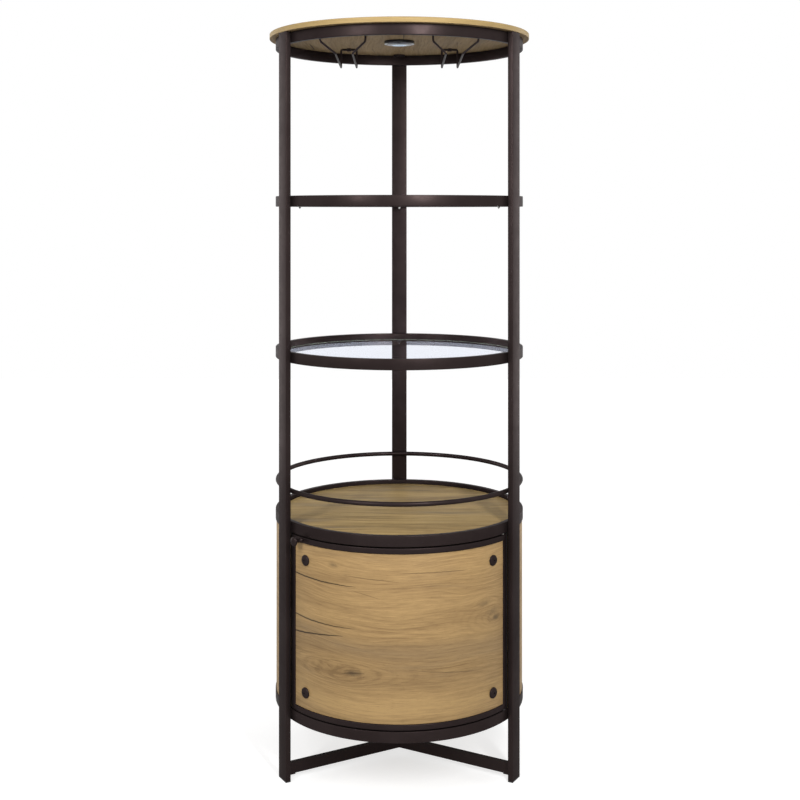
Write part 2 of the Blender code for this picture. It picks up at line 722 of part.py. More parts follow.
def make_door_frame(material):
    """Make the door's frame with its gussets, weld nuts and bores."""
    frame = add_object("door_frame", door_frame_grid(), material)
    soften(frame, DOOR_EDGE_ROUND)
    nut_end = GUSSET_RADIUS - GUSSET_THICKNESS - NUT_HEIGHT
    nuts = radial_cylinders(bolt_places(NUT_RADIUS, nut_end, GUSSET_RADIUS - GUSSET_THICKNESS / 2), NUT_SIDES)
    combine(frame, "door_gussets", gussets(), "UNION")
    combine(frame, "door_weld_nuts", nuts, "UNION")
    bore = BOLT_SHANK_RADIUS + FIT_GAP
    bores = radial_cylinders(bolt_places(bore, nut_end - CUT_OVERRUN, RING_RADIUS), SMALL_STEPS)
    combine(frame, "door_nut_bores", bores, "DIFFERENCE")
    stud = KNOB_STUD_RADIUS + FIT_GAP
    stud_bore = [(stud, RING_INNER_RADIUS - CUT_OVERRUN, RING_RADIUS + CUT_OVERRUN, KNOB_ANGLE, RAIL_CENTRE_HEIGHT)]
    combine(frame, "door_stud_bore", radial_cylinders(stud_bore, TINY_STEPS), "DIFFERENCE")
    depth = PIN_SEAT + PIN_BORE_SPARE
    pin_bore("door_top_pin_bore", frame, DOOR_TOP - depth, DOOR_TOP + CUT_OVERRUN)
    pin_bore("door_bottom_pin_bore", frame, DOOR_BOTTOM - CUT_OVERRUN, DOOR_BOTTOM + depth)
    return frame


def make_door_panel(material):
    """Make the curved panel inside the frame."""
    edge = DOOR_WINDOW_ANGLE - degrees(DOOR_PANEL_GAP / RING_RADIUS)
    low = DOOR_BOTTOM + DOOR_TUBE + DOOR_PANEL_GAP
    high = DOOR_TOP - DOOR_TUBE - DOOR_PANEL_GAP
    clip = edge - degrees(DOOR_PANEL_CORNER / RING_RADIUS)
    ends = (low + DOOR_PANEL_CORNER, high - DOOR_PANEL_CORNER)
    columns = [(-edge, ends), *level_columns(facet_angles(-clip, clip), low, high), (edge, ends)]
    builder = bmesh.new()
    add_bent_plate(builder, columns, DOOR_PANEL_RADIUS, DOOR_PANEL_INNER_RADIUS)
    panel = add_object("door_panel", builder, material)
    holes = bolt_places(BOLT_SHANK_RADIUS + FIT_GAP, DOOR_PANEL_INNER_RADIUS - CUT_OVERRUN, RING_RADIUS)
    combine(panel, "door_panel_holes", radial_cylinders(holes, SMALL_STEPS), "DIFFERENCE")
    return panel


def bolt_outline():
    """Return the turned outline of a dome-headed bolt, from its tip to the crown."""
    shank = DOOR_PANEL_THICKNESS + GUSSET_THICKNESS + NUT_HEIGHT
    outline = [
        (BOLT_SHANK_RADIUS - BOLT_TIP, -shank), (BOLT_SHANK_RADIUS, BOLT_TIP - shank),
        (BOLT_SHANK_RADIUS, 0.0), (BOLT_HEAD_RADIUS, 0.0),
    ]
    dome = BOLT_HEAD_HEIGHT - BOLT_RIM_HEIGHT
    for index in range(ARC_STEPS):
        turn = pi / 2 * index / ARC_STEPS
        outline.append((BOLT_HEAD_RADIUS * cos(turn), BOLT_RIM_HEIGHT + dome * sin(turn)))
    return outline


def make_door_bolts(material):
    """Make the four bolts of the panel."""
    bolts = []
    seat = DOOR_PANEL_RADIUS + FIT_GAP
    for side, sign in (("left", -1), ("right", 1)):
        for end, height in zip(("bottom", "top"), BOLT_HEIGHTS):
            bolt = add_object(f"door_bolt_{end}_{side}", turn_outline(bolt_outline(), SMALL_STEPS), material)
            stand_radially(bolt, seat, sign * BOLT_ANGLE, height)
            bolts.append(bolt)
    return bolts


def knob_outline():
    """Return the turned outline of the mushroom knob, from its stud to its crown."""
    under_head = KNOB_REACH - KNOB_HEAD_HEIGHT
    crown = KNOB_HEAD_HEIGHT - KNOB_EDGE_ROUND
    outline = [
        (KNOB_STUD_RADIUS, -KNOB_STUD_LENGTH), (KNOB_STUD_RADIUS, 0.0), (KNOB_BASE_RADIUS, 0.0),
        (KNOB_BASE_RADIUS, KNOB_BASE_HEIGHT), (KNOB_NECK_RADIUS, 2 * KNOB_BASE_HEIGHT),
        (KNOB_NECK_RADIUS, under_head - KNOB_BASE_HEIGHT / 2),
        (KNOB_HEAD_RADIUS - KNOB_EDGE_ROUND / 2, under_head + KNOB_EDGE_ROUND / 2),
    ]
    for index in range(ARC_STEPS):
        turn = pi / 2 * index / ARC_STEPS
        height = under_head + KNOB_EDGE_ROUND + crown * sin(turn)
        outline.append((KNOB_HEAD_RADIUS * cos(turn), height))
    return outline


def make_door_knob(material):
    """Make the knob on the top rail."""
    knob = add_object("door_knob", turn_outline(knob_outline(), SMALL_STEPS), material)
    stand_radially(knob, RING_RADIUS + FIT_GAP, KNOB_ANGLE, RAIL_CENTRE_HEIGHT)
    return knob


def make_strike(material):
    """Make the steel plate that the magnet holds, behind the top rail."""
    face = facet_face(RING_INNER_RADIUS) - FIT_GAP
    half = STRIKE_WIDTH / 2
    low = RAIL_CENTRE_HEIGHT - STRIKE_HEIGHT / 2
    high = RAIL_CENTRE_HEIGHT + STRIKE_HEIGHT / 2
    outline = [
        (STRIKE_CORNER - half, -face, low), (half - STRIKE_CORNER, -face, low),
        (half, -face, low + STRIKE_CORNER), (half, -face, high - STRIKE_CORNER),
        (half - STRIKE_CORNER, -face, high), (STRIKE_CORNER - half, -face, high),
        (-half, -face, high - STRIKE_CORNER), (-half, -face, low + STRIKE_CORNER),
    ]
    builder = bmesh.new()
    add_prism(builder, outline, (0, STRIKE_THICKNESS, 0), turn=CATCH_ANGLE)
    return add_object("catch_strike", builder, material)


def make_door(materials):
    """Make everything that swings, hung from an empty on the hinge's axis."""
    axis = bpy.data.objects.new("door_hinge_axis", None)
    bpy.context.scene.collection.objects.link(axis)
    axis.location = polar(RING_MEAN_RADIUS, HINGE_ANGLE)
    leaf = [
        make_door_frame(materials["bronze"]),
        make_door_panel(materials["oak"]),
        make_door_knob(materials["bronze"]),
        make_strike(materials["steel"]),
        *make_door_bolts(materials["bronze"]),
    ]
    for piece in leaf:
        piece.parent = axis
        piece.location -= axis.location


# Pivots and catch


def pin_outline(length):
    """Return the turned outline of a pin with eased ends."""
    return [
        (PIN_RADIUS - PIN_ARRIS, 0.0), (PIN_RADIUS, PIN_ARRIS),
        (PIN_RADIUS, length - PIN_ARRIS), (PIN_RADIUS - PIN_ARRIS, length),
    ]


def make_pivots(materials):
    """Make the two pins and the washer that the door stands on."""
    length = PIN_SEAT + DOOR_END_GAP + PIN_SEAT
    for end, height in (("top", DOOR_TOP - PIN_SEAT), ("bottom", DOOR_BOTTOM - DOOR_END_GAP - PIN_SEAT)):
        pin = add_object("hinge_pin_" + end, turn_outline(pin_outline(length), SMALL_STEPS), materials["steel"])
        pin.location = polar(RING_MEAN_RADIUS, HINGE_ANGLE, height)
    bore = PIN_RADIUS + FIT_GAP
    thickness = DOOR_END_GAP - 2 * FIT_GAP
    section = [(bore, 0.0), (WASHER_RADIUS, 0.0), (WASHER_RADIUS, thickness), (bore, thickness)]
    washer = add_object("hinge_washer", turn_outline(section, SMALL_STEPS, ring=True), materials["black"])
    washer.location = polar(RING_MEAN_RADIUS, HINGE_ANGLE, DOOR_BOTTOM - DOOR_END_GAP + FIT_GAP)


def make_catch(materials):
    """Make the magnetic catch under the drum's top board."""
    strike_back = facet_face(RING_INNER_RADIUS) - FIT_GAP - STRIKE_THICKNESS
    pole_face = strike_back - FIT_GAP
    front = pole_face - MAGNET_PROUD
    top = DRUM_TOP_HEIGHT + BOARD_RISE - FIT_GAP
    half = CATCH_WIDTH / 2
    builder = bmesh.new()
    add_box(builder, (-half, -front, top - CATCH_HEIGHT), (half, CATCH_DEPTH - front, top), CATCH_ANGLE)
    body = add_object("catch_body", builder, materials["black"])
    soften(body, CATCH_EDGE_ROUND)
    half = MAGNET_WIDTH / 2
    low = top - CATCH_HEIGHT / 2 - MAGNET_HEIGHT / 2 - CATCH_EDGE_ROUND
    corner = (-half, -pole_face, low)
    far = (half, MAGNET_DEPTH - pole_face, low + MAGNET_HEIGHT)
    magnet = bmesh.new()
    add_box(magnet, corner, far, CATCH_ANGLE)
    add_object("catch_magnet", magnet, materials["steel"])
    gap = Vector((FIT_GAP, FIT_GAP, FIT_GAP))
    pocket = bmesh.new()
    add_box(pocket, Vector(corner) - gap - Vector((0, CUT_OVERRUN, 0)), Vector(far) + gap, CATCH_ANGLE)
    combine(body, "catch_pocket", pocket, "DIFFERENCE")


# Stemware racks


def bend_path(corners, radii):
    """Return points along straight runs whose corners are rounded by arcs."""
    path = [corners[0]]
    for before, corner, after, radius in zip(corners, corners[1:], corners[2:], radii):
        into = (corner - before).normalized()
        out = (after - corner).normalized()
        bend = into.angle(out)
        setback = radius * sin(bend / 2) / cos(bend / 2)
        inward = (out - into).normalized()
        centre = corner + inward * (radius / cos(bend / 2))
        axis = into.cross(out).normalized()
        start = corner - into * setback - centre
        for index in range(RACK_BEND_STEPS + 1):
            turned = Matrix.Rotation(bend * index / RACK_BEND_STEPS, 3, axis) @ start
            path.append(centre + turned)
    path.append(corners[-1])
    return path


def rack_corners():
    """Return the corners of one rack's wire, about the rack's own middle plane."""
    rod = RACK_ROD_SPACING / 2
    mouth = RACK_MOUTH_WIDTH / 2
    front = -RACK_ROD_HALF_LENGTH
    mouth_y = front - RACK_MOUTH_REACH
    mouth_z = RACK_MOUTH_RISE - RACK_DROP
    seat = RACK_SEAT_DEPTH
    loop = -FIT_GAP - RACK_WIRE_RADIUS
    half = [
        Vector((mouth, mouth_y, seat)), Vector((mouth, mouth_y, mouth_z)), Vector((rod, front, -RACK_DROP)),
        Vector((rod, -front, -RACK_DROP)), Vector((rod, -front, loop)),
    ]
    return half + [Vector((-point.x, point.y, point.z)) for point in reversed(half)]


def rack_bores():
    """Return the cutters for the wires' ends in the underside of the top."""
    builder = bmesh.new()
    mouth_y = -RACK_ROD_HALF_LENGTH - RACK_MOUTH_REACH
    depth = RACK_SEAT_DEPTH + FIT_GAP
    for centre in (-RACK_OFFSET, RACK_OFFSET):
        for x in (centre - RACK_MOUTH_WIDTH / 2, centre + RACK_MOUTH_WIDTH / 2):
            add_disc(builder, RACK_WIRE_RADIUS + FIT_GAP, -CUT_OVERRUN, depth, TINY_STEPS, at=(x, mouth_y))
    return builder


def make_rack(side, offset, material):
    """Bend one rack from a single wire."""
    curve = bpy.data.curves.new("stemware_rack_" + side, "CURVE")
    curve.dimensions = "3D"
    curve.bevel_depth = RACK_WIRE_RADIUS
    curve.bevel_resolution = 2
    curve.use_fill_caps = True
    corners = rack_corners()
    radii = [RACK_BEND_RADIUS] * (len(corners) - 2)
    loop = len(radii) // 2
    radii[loop - 1:loop + 1] = [RACK_LOOP_BEND_RADIUS, RACK_LOOP_BEND_RADIUS]
    path = bend_path(corners, radii)
    spline = curve.splines.new("POLY")
    spline.points.add(len(path) - 1)
    for point, place in zip(spline.points, path):
        point.co = (*place, 1.0)
    rack = bpy.data.objects.new(curve.name, curve)
    bpy.context.scene.collection.objects.link(rack)
    rack.location = (offset, 0, TOP_UNDERSIDE)
    curve.materials.append(material)


def clip_outline():
    """Return the side view of a saddle clip: two ears and the arch under the wire."""
    x = -CLIP_WIDTH / 2
    wire = -FIT_GAP - RACK_WIRE_RADIUS
    inner = RACK_WIRE_RADIUS + FIT_GAP
    outer = inner + CLIP_THICKNESS
    ear = outer + CLIP_EAR
    seat = -FIT_GAP
    inside = []
    outside = []
    for index in range(CLIP_ARC_STEPS + 1):
        turn = pi + pi * index / CLIP_ARC_STEPS
        inside.append((x, inner * cos(turn), wire + inner * sin(turn)))
        outside.append((x, -outer * cos(turn), wire + outer * sin(turn)))
    ear_bottom = seat - CLIP_THICKNESS
    return [
        (x, -ear, seat), (x, -inner, seat), *inside, (x, inner, seat), (x, ear, seat),
        (x, ear, ear_bottom), (x, outer, ear_bottom), *outside, (x, -outer, ear_bottom), (x, -ear, ear_bottom),
    ]


def make_racks(materials):
    """Make both racks, each with the clip on its rear loop."""
    for side, offset in (("left", -RACK_OFFSET), ("right", RACK_OFFSET)):
        make_rack(side, offset, materials["bronze"])
        builder = bmesh.new()
        add_prism(builder, clip_outline(), (CLIP_WIDTH, 0, 0))
        clip = add_object("rack_clip_" + side, builder, materials["bronze"])
        clip.location = (offset, RACK_ROD_HALF_LENGTH, TOP_UNDERSIDE)


# Lamp, drawn from the underside of the top downwards


def make_lamp_bezel(material):
    """Make the dark ring with the lip that keeps the lens in."""
    inner = LAMP_RADIUS - LAMP_WALL
    lip = inner - LAMP_LIP
    top = -FIT_GAP
    bottom = top - LAMP_HEIGHT
    lip_top = bottom + LAMP_LIP_HEIGHT
    section = [
        (inner, top), (LAMP_RADIUS, top), (LAMP_RADIUS, bottom + LAMP_EDGE_ROUND),
        (LAMP_RADIUS - LAMP_EDGE_ROUND, bottom), (lip, bottom), (lip, lip_top), (inner, lip_top),
    ]
    add_object("lamp_bezel", turn_outline(section, FINE_STEPS, ring=True), material, TOP_UNDERSIDE)


def make_lamp_board(materials):
    """Make the mounting plate, and the board with its light sources and switch."""
    base_radius = LAMP_RADIUS - LAMP_WALL - FIT_GAP
    base = [(base_radius, -FIT_GAP - LAMP_BASE_THICKNESS), (base_radius, -FIT_GAP)]
    add_object("lamp_base", turn_outline(base, FINE_STEPS), materials["black"], TOP_UNDERSIDE)
    top = -2 * FIT_GAP - LAMP_BASE_THICKNESS
    bottom = top - LAMP_BOARD_THICKNESS
    outline = [(LAMP_BOARD_RADIUS, bottom), (LAMP_BOARD_RADIUS, top)]
    board = add_object("lamp_board", turn_outline(outline, FINE_STEPS), materials["board"], TOP_UNDERSIDE)
    extras = bmesh.new()
    middle = (top + bottom) / 2
    for index in range(LIGHT_SOURCE_COUNT):
        place = polar(LIGHT_SOURCE_CIRCLE, 360 * index / LIGHT_SOURCE_COUNT)
        low = bottom - LIGHT_SOURCE_HEIGHT
        add_disc(extras, LIGHT_SOURCE_RADIUS, low, middle, TINY_STEPS, at=(place.x, place.y))
    add_disc(extras, LAMP_SWITCH_RADIUS, bottom - LAMP_SWITCH_HEIGHT, middle, SMALL_STEPS)
    combine(board, "lamp_board_parts", extras, "UNION", TOP_UNDERSIDE)
    bore = bmesh.new()
    add_disc(bore, LENS_POST_RADIUS + FIT_GAP, bottom - 2 * LAMP_SWITCH_HEIGHT, bottom, SMALL_STEPS)
    combine(board, "lamp_switch_bore", bore, "DIFFERENCE", TOP_UNDERSIDE)


def crown_points(radius, rim, crown):
    """Return the points of a shallow dome, from its rim to near its middle."""
    points = []
    for index in range(ARC_STEPS):
        turn = pi / 2 * index / ARC_STEPS
        points.append((radius * cos(turn), rim - crown * sin(turn)))
    return points


def make_lamp_lens(material):
    """Make the domed lens with its flange and the post that works the switch."""
    flange_radius = LAMP_RADIUS - LAMP_WALL - FIT_GAP
    flange_bottom = -FIT_GAP - LAMP_HEIGHT + LAMP_LIP_HEIGHT + FIT_GAP
    lens_radius = LAMP_RADIUS - LAMP_WALL - LAMP_LIP - FIT_GAP
    rim = -FIT_GAP - LAMP_HEIGHT - LENS_RIM_HEIGHT
    hollow_radius = lens_radius - LENS_WALL
    flange_top = flange_bottom + LENS_FLANGE
    outside = [(flange_radius, flange_top), (flange_radius, flange_bottom), (lens_radius, flange_bottom)]
    outside += crown_points(lens_radius, rim, LENS_CROWN)
    crown_bottom = rim - LENS_CROWN
    inside = crown_points(hollow_radius, rim + LENS_WALL, LENS_CROWN)
    board_bottom = -2 * FIT_GAP - LAMP_BASE_THICKNESS - LAMP_BOARD_THICKNESS
    post_top = board_bottom - LENS_TRAVEL - FIT_GAP
    builder = turn_outline([(0.0, crown_bottom), *reversed(outside)], FINE_STEPS)
    lens = add_object("lamp_lens", builder, material)
    hollow = turn_outline([*reversed(inside), (hollow_radius, flange_top + CUT_OVERRUN)], FINE_STEPS)
    combine(lens, "lamp_lens_hollow", hollow, "DIFFERENCE", TOP_UNDERSIDE)
    post = bmesh.new()
    add_disc(post, LENS_POST_RADIUS, crown_bottom + LENS_WALL / 2, post_top, TINY_STEPS)
    combine(lens, "lamp_lens_post", post, "UNION", TOP_UNDERSIDE)
    lens.location.z = TOP_UNDERSIDE


def main():
    """Build the cabinet."""
    for leftover in list(bpy.data.objects):
        bpy.data.objects.remove(leftover)
    materials = make_materials()
    make_rings(materials["bronze"])
    make_boards(materials)
    make_shelves(materials)
    make_legs(materials)
    make_brace(materials["bronze"])
    make_gallery_rail(materials["bronze"])
    make_sides(materials["oak"])
    make_door(materials)
    make_pivots(materials)
    make_catch(materials)
    make_racks(materials)
    make_lamp_bezel(materials["black"])
    make_lamp_board(materials)
    make_lamp_lens(materials["lens"])


main()
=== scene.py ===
"""Dresses the round wine cabinet and sets it in a plain studio.

Metres, +Z up. -Y is the front and +X the right-hand side seen from the front. Angles round the
cabinet's axis are in degrees from the front, positive towards the right, as in the model.
"""

import logging
from dataclasses import dataclass, field
from enum import Enum
from math import atan2, cos, degrees, pi, radians, sin
from typing import Any, Callable, Sequence

import bmesh
import bpy
from mathutils import Matrix, Vector


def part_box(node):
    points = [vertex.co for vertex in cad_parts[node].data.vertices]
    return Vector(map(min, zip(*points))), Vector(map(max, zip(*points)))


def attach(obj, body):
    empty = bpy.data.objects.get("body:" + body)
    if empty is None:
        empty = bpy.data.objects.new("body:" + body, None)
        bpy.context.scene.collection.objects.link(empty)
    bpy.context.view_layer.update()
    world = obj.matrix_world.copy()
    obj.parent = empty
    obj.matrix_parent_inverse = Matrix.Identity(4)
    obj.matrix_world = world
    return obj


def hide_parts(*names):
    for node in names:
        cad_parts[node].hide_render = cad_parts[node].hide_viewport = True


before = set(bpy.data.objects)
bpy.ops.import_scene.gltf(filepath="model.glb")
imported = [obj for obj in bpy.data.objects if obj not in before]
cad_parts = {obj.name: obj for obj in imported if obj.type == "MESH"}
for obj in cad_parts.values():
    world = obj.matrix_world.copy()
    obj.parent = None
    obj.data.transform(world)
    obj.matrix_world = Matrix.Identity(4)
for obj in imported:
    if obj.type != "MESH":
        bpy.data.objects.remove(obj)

log = logging.getLogger("wine_cabinet")

Node = bpy.types.Node
Socket = bpy.types.NodeSocket
Material = bpy.types.Material
Point = Vector | tuple[float, float, float]
Colour = tuple[float, float, float]
Profile = list[tuple[float, float]]
GrainMap = Callable[[Vector, Vector], tuple[float, float]]

# The gap that touching pieces keep, the parts of a full round, of a rounded corner and of a thin
# board's corner, and the sharpest angle that is shaded smooth.
FIT_GAP = 0.0003
ROUND_STEPS = 192
ARC_STEPS = 5
THIN_STEPS = 2
CREASE_ANGLE = 34.0
WHITE = (1.0, 1.0, 1.0)


class Body(str, Enum):
    """The model's moving bodies."""

    CABINET = "cabinet"
    DOOR = "door"
    LENS = "lens"


class Side(Enum):
    """A leg of the cabinet, with its angle from the front."""

    LEFT = -60.0
    RIGHT = 60.0
    BACK = 180.0


def polar(radius: float, angle: float, height: float = 0.0) -> Vector:
    """Find a point round the cabinet's axis.

    Args:
        radius: distance from the axis.
        angle: degrees from the front.
        height: height above the floor.

    Returns:
        The point.
    """
    turn = radians(angle)
    return Vector((radius * sin(turn), -radius * cos(turn), height))


def outward(radius: float, angle: float, height: float) -> Matrix:
    """Place a piece so that its +Z points away from the axis.

    Args:
        radius: distance of the piece's foot from the axis.
        angle: degrees from the front.
        height: height above the floor.

    Returns:
        The placing matrix.
    """
    turn = Matrix.Rotation(radians(angle), 4, "Z") @ Matrix.Rotation(pi / 2, 4, "X")
    return Matrix.Translation(polar(radius, angle, height)) @ turn


def turned_to(angle: float, height: float = 0.0) -> Matrix:
    """Return the matrix that lifts a piece and turns it round the axis by an angle."""
    return Matrix.Translation((0.0, 0.0, height)) @ Matrix.Rotation(radians(angle), 4, "Z")


def underside(node: str) -> float:
    """Return the height of a model node's lowest point."""
    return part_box(node)[0].z


def topside(node: str) -> float:
    """Return the height of a model node's highest point."""
    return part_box(node)[1].z


def rounded(centre: Sequence[float], radius: float, start: float, steps: int = ARC_STEPS) -> Profile:
    """Return the points of one rounded corner.

    Args:
        centre: the middle of its curve.
        radius: the curve's radius.
        start: where the curve starts, in radians.
        steps: parts in the corner.

    Returns:
        Points along a quarter of a circle, counterclockwise.
    """
    turns = [start + pi / 2 * step / steps for step in range(steps + 1)]
    return [(centre[0] + radius * cos(turn), centre[1] + radius * sin(turn)) for turn in turns]


def eased(low: Sequence[float], high: Sequence[float], radius: float, steps: int = ARC_STEPS) -> Profile:
    """Outline a rectangle with rounded corners.

    Args:
        low: the lower corner.
        high: the upper corner.
        radius: the corners' radius.
        steps: parts in each corner.

    Returns:
        Points round the rectangle, counterclockwise.
    """
    left, right = low[0] + radius, high[0] - radius
    foot, head = low[1] + radius, high[1] - radius
    points = []
    for quarter, centre in enumerate(((right, head), (left, head), (left, foot), (right, foot))):
        points += rounded(centre, radius, pi / 2 * quarter, steps)
    return points


def board_rim(low: Vector, high: Vector, radius: float, steps: int = ARC_STEPS) -> Profile:
    """Return the turned outline of a round board's eased edge, from its underside to its top.

    Args:
        low: the lower corner of the board's box.
        high: the upper corner of the board's box.
        radius: how far the edge is rounded.
        steps: parts in each rounded corner.

    Returns:
        The outline's (radius, height) points.
    """
    outline = eased((0.0, low.z), (high.x, high.z), radius, steps)
    rim = [point for point in outline if point[0] > high.x / 2]
    return sorted(rim, key=lambda point: point[1])


def ring_outline(radius: float, steps: int, centre: Sequence[float] = (0.0, 0.0)) -> Profile:
    """Return the flat outline of a round hole, or of a polygon such as a nut."""
    turns = [2 * pi * step / steps for step in range(steps)]
    return [(centre[0] + radius * cos(turn), centre[1] + radius * sin(turn)) for turn in turns]


def circle(radius: float, steps: int, height: float = 0.0) -> list[Vector]:
    """Return points round a level circle about Z."""
    return [Vector((x, y, height)) for x, y in ring_outline(radius, steps)]


def tongue(half: float, root: float, tip: float, radius: float) -> Profile:
    """Outline a flat tongue along Y with its two free corners rounded.

    Args:
        half: half its width.
        root: where it starts.
        tip: where it ends.
        radius: its corners' radius.

    Returns:
        Points round the tongue.
    """
    points = [(-half, root), (half, root)]
    for side, start in ((1, 0.0), (-1, pi / 2)):
        points += rounded((side * (half - radius), tip - radius), radius, start)
    return points


def dome(radius: float, low: float, rise: float, steps: int = ARC_STEPS) -> Profile:
    """Return a dome's turned profile, from its rim to near its top."""
    turns = [pi / 2 * step / steps for step in range(steps)]
    return [(radius * cos(turn), low + rise * sin(turn)) for turn in turns]


class Sheet:
    """A node tree being drawn, with short calls for the nodes that it uses most."""

    def __init__(self, tree: bpy.types.NodeTree) -> None:
        """Start on a tree.

        Args:
            tree: the tree that the nodes go into.
        """
        self.tree = tree

    def wire(self, node: Node, inputs: dict[str | int, Any]) -> None:
        """Fill a node's inputs.

        Args:
            node: the node.
            inputs: socket name or index to a value, another node's output or a list of outputs.
        """
        for key, value in inputs.items():
            for part in value if isinstance(value, list) else [value]:
                if isinstance(part, Socket):
                    self.tree.links.new(part, node.inputs[key])
                else:
                    node.inputs[key].default_value = part

    def node(self, kind: str, inputs: dict[str | int, Any] | None = None, **settings: Any) -> Node:
        """Add one node.

        Args:
            kind: the node's type.
            inputs: its inputs, as for wire.
            **settings: the node's own properties.

        Returns:
            The node.
        """
        made = self.tree.nodes.new(kind)
        for name, value in settings.items():
            setattr(made, name, value)
        self.wire(made, inputs or {})
        return made

    def here(self) -> Socket:
        """Return the place on the piece, in the piece's own coordinates."""
        return self.node("ShaderNodeTexCoord").outputs["Object"]

    def math(self, operation: str, *values: Any, clamp: bool = False) -> Socket:
        """Add a math node.

        Args:
            operation: what it works out.
            *values: numbers or outputs.
            clamp: whether the result is kept between 0 and 1.

        Returns:
            The result's socket.
        """
        inputs = dict(enumerate(values))
        return self.node("ShaderNodeMath", inputs, operation=operation, use_clamp=clamp).outputs[0]

    def times(self, first: Any, second: Any) -> Socket:
        """Multiply two numbers."""
        return self.math("MULTIPLY", first, second)

    def plus(self, first: Any, second: Any, clamp: bool = False) -> Socket:
        """Add two numbers."""
        return self.math("ADD", first, second, clamp=clamp)

    def less(self, first: Any, second: Any, clamp: bool = False) -> Socket:
        """Take the second number from the first."""
        return self.math("SUBTRACT", first, second, clamp=clamp)

    def span(self, value: Any, low: float, high: float, to_low: float = 0.0, to_high: float = 1.0) -> Socket:
        """Carry a value from one range to another, softly and clamped.

        Args:
            value: the output to carry over.
            low: where the first range starts.
            high: where the first range ends.
            to_low: what low becomes.
            to_high: what high becomes.

        Returns:
            The result's socket.
        """
        inputs = {"Value": value, "From Min": low, "From Max": high, "To Min": to_low, "To Max": to_high}
        return self.node("ShaderNodeMapRange", inputs, interpolation_type="SMOOTHSTEP").outputs[0]

    def mix(self, share: Any, first: Any, second: Any, blend: str = "MIX") -> Socket:
        """Mix two colours.

        Args:
            share: how much of the second colour there is.
            first: a colour or an output.
            second: a colour or an output.
            blend: the way of mixing.

        Returns:
            The mixed colour's socket.
        """
        ready = [value if isinstance(value, Socket) else (*value, 1.0) for value in (first, second)]
        inputs = {0: share, 6: ready[0], 7: ready[1]}
        return self.node("ShaderNodeMix", inputs, data_type="RGBA", blend_type=blend).outputs[2]

    def noise(self, vector: Any, scale: float, detail: float = 2.0, rough: float = 0.5) -> Socket:
        """Add a noise texture.

        Args:
            vector: where it is read.
            scale: how fine it is.
            detail: how many finer layers it has.
            rough: how strong those layers are.

        Returns:
            The noise's socket, from 0 to 1.
        """
        inputs = {"Vector": vector, "Scale": scale, "Detail": detail, "Roughness": rough}
        return self.node("ShaderNodeTexNoise", inputs).outputs[0]

    def place(self, x: Any, y: Any, z: Any = 0.0) -> Socket:
        """Join three numbers into a place."""
        return self.node("ShaderNodeCombineXYZ", {0: x, 1: y, 2: z}).outputs[0]

    def length(self, vector: Socket) -> Socket:
        """Return how long a vector is."""
        return self.node("ShaderNodeVectorMath", {0: vector}, operation="LENGTH").outputs["Value"]

    def bump(self, height: Socket, distance: float, strength: float) -> Socket:
        """Turn a height into a bump.

        Args:
            height: the output that holds the height, from 0 to 1.
            distance: how far that height reaches, in metres.
            strength: how much of the bump shows.

        Returns:
            The bumped normal's socket.
        """
        inputs = {"Height": height, "Distance": distance, "Strength": strength}
        return self.node("ShaderNodeBump", inputs).outputs[0]


def opaque(colour: Colour) -> tuple[float, float, float, float]:
    """Return a colour with full alpha."""
    return (*colour, 1.0)


def dimmed(colour: Colour, share: float) -> Colour:
    """Return a colour dimmed to a share of itself."""
    return tuple(share * part for part in colour)


def shader_sheet(name: str, viewport: Colour) -> tuple[Material, Sheet, Node]:
    """Start a material.

    Args:
        name: the material's name.
        viewport: its colour without nodes.

    Returns:
        The material, its sheet and its Principled node.
    """
    material = bpy.data.materials.new(name)
    material.use_nodes = True
    material.diffuse_color = opaque(viewport)
    return material, Sheet(material.node_tree), material.node_tree.nodes["Principled BSDF"]


@dataclass(frozen=True)
class BronzeCoat:
    """Satin dark bronze powder coat."""

    name: str = "bronze_powder_coat"
    deep: Colour = (0.0248, 0.0177, 0.0173)
    warm: Colour = (0.0338, 0.0247, 0.0241)
    speck: Colour = (0.052, 0.036, 0.034)
    speck_share: float = 0.22
    flake: float = 0.60
    edge: Colour = (0.60, 0.60, 0.60)
    smooth: float = 0.32
    dull: float = 0.40
    skin_depth: float = 0.00003

    def material(self) -> Material:
        """Build the coat: slow changes of tone, and the fine skin of baked powder.

        Returns:
            The material.
        """
        material, sheet, shader = shader_sheet(self.name, self.warm)
        place = sheet.here()
        cloud = sheet.noise(place, 7.0, 4.0, 0.6)
        skin = sheet.noise(place, 1500.0, 2.0, 0.6)
        patches = sheet.noise(place, 60.0, 3.0, 0.6)
        colour = sheet.mix(sheet.span(cloud, 0.3, 0.7), self.deep, self.warm)
        specks = sheet.span(skin, 0.52, 0.72, 0.0, self.speck_share)
        peel = sheet.plus(sheet.noise(place, 420.0, 2.0, 0.5), sheet.times(skin, 0.5))
        sheet.wire(shader, {
            "Base Color": sheet.mix(specks, colour, self.speck),
            "Roughness": sheet.span(patches, 0.3, 0.7, self.smooth, self.dull),
            "Metallic": self.flake,
            "Specular IOR Level": 0.0,
            "Specular Tint": opaque(self.edge),
            "Normal": sheet.bump(peel, self.skin_depth, 0.55),
        })
        return material


@dataclass(frozen=True)
class Crack:
    """A dark drying crack in the print.

    Its ends, its width and the bow of its middle are in metres along and across the grain.
    """

    start: tuple[float, float]
    end: tuple[float, float]
    bow: float
    width: float
    strength: float


@dataclass(frozen=True)
class Knot:
    """A knot that the grain flows round, in metres along and across the grain.

    Strength is how dark its heart is. Push is how far the grain bends round it, and spread how
    soon that dies away. Ovals is how strong the dark rings round it are.
    """

    centre: tuple[float, float]
    reach: tuple[float, float]
    strength: float
    push: float = 0.8
    spread: float = 0.35
    ovals: float = 0.0


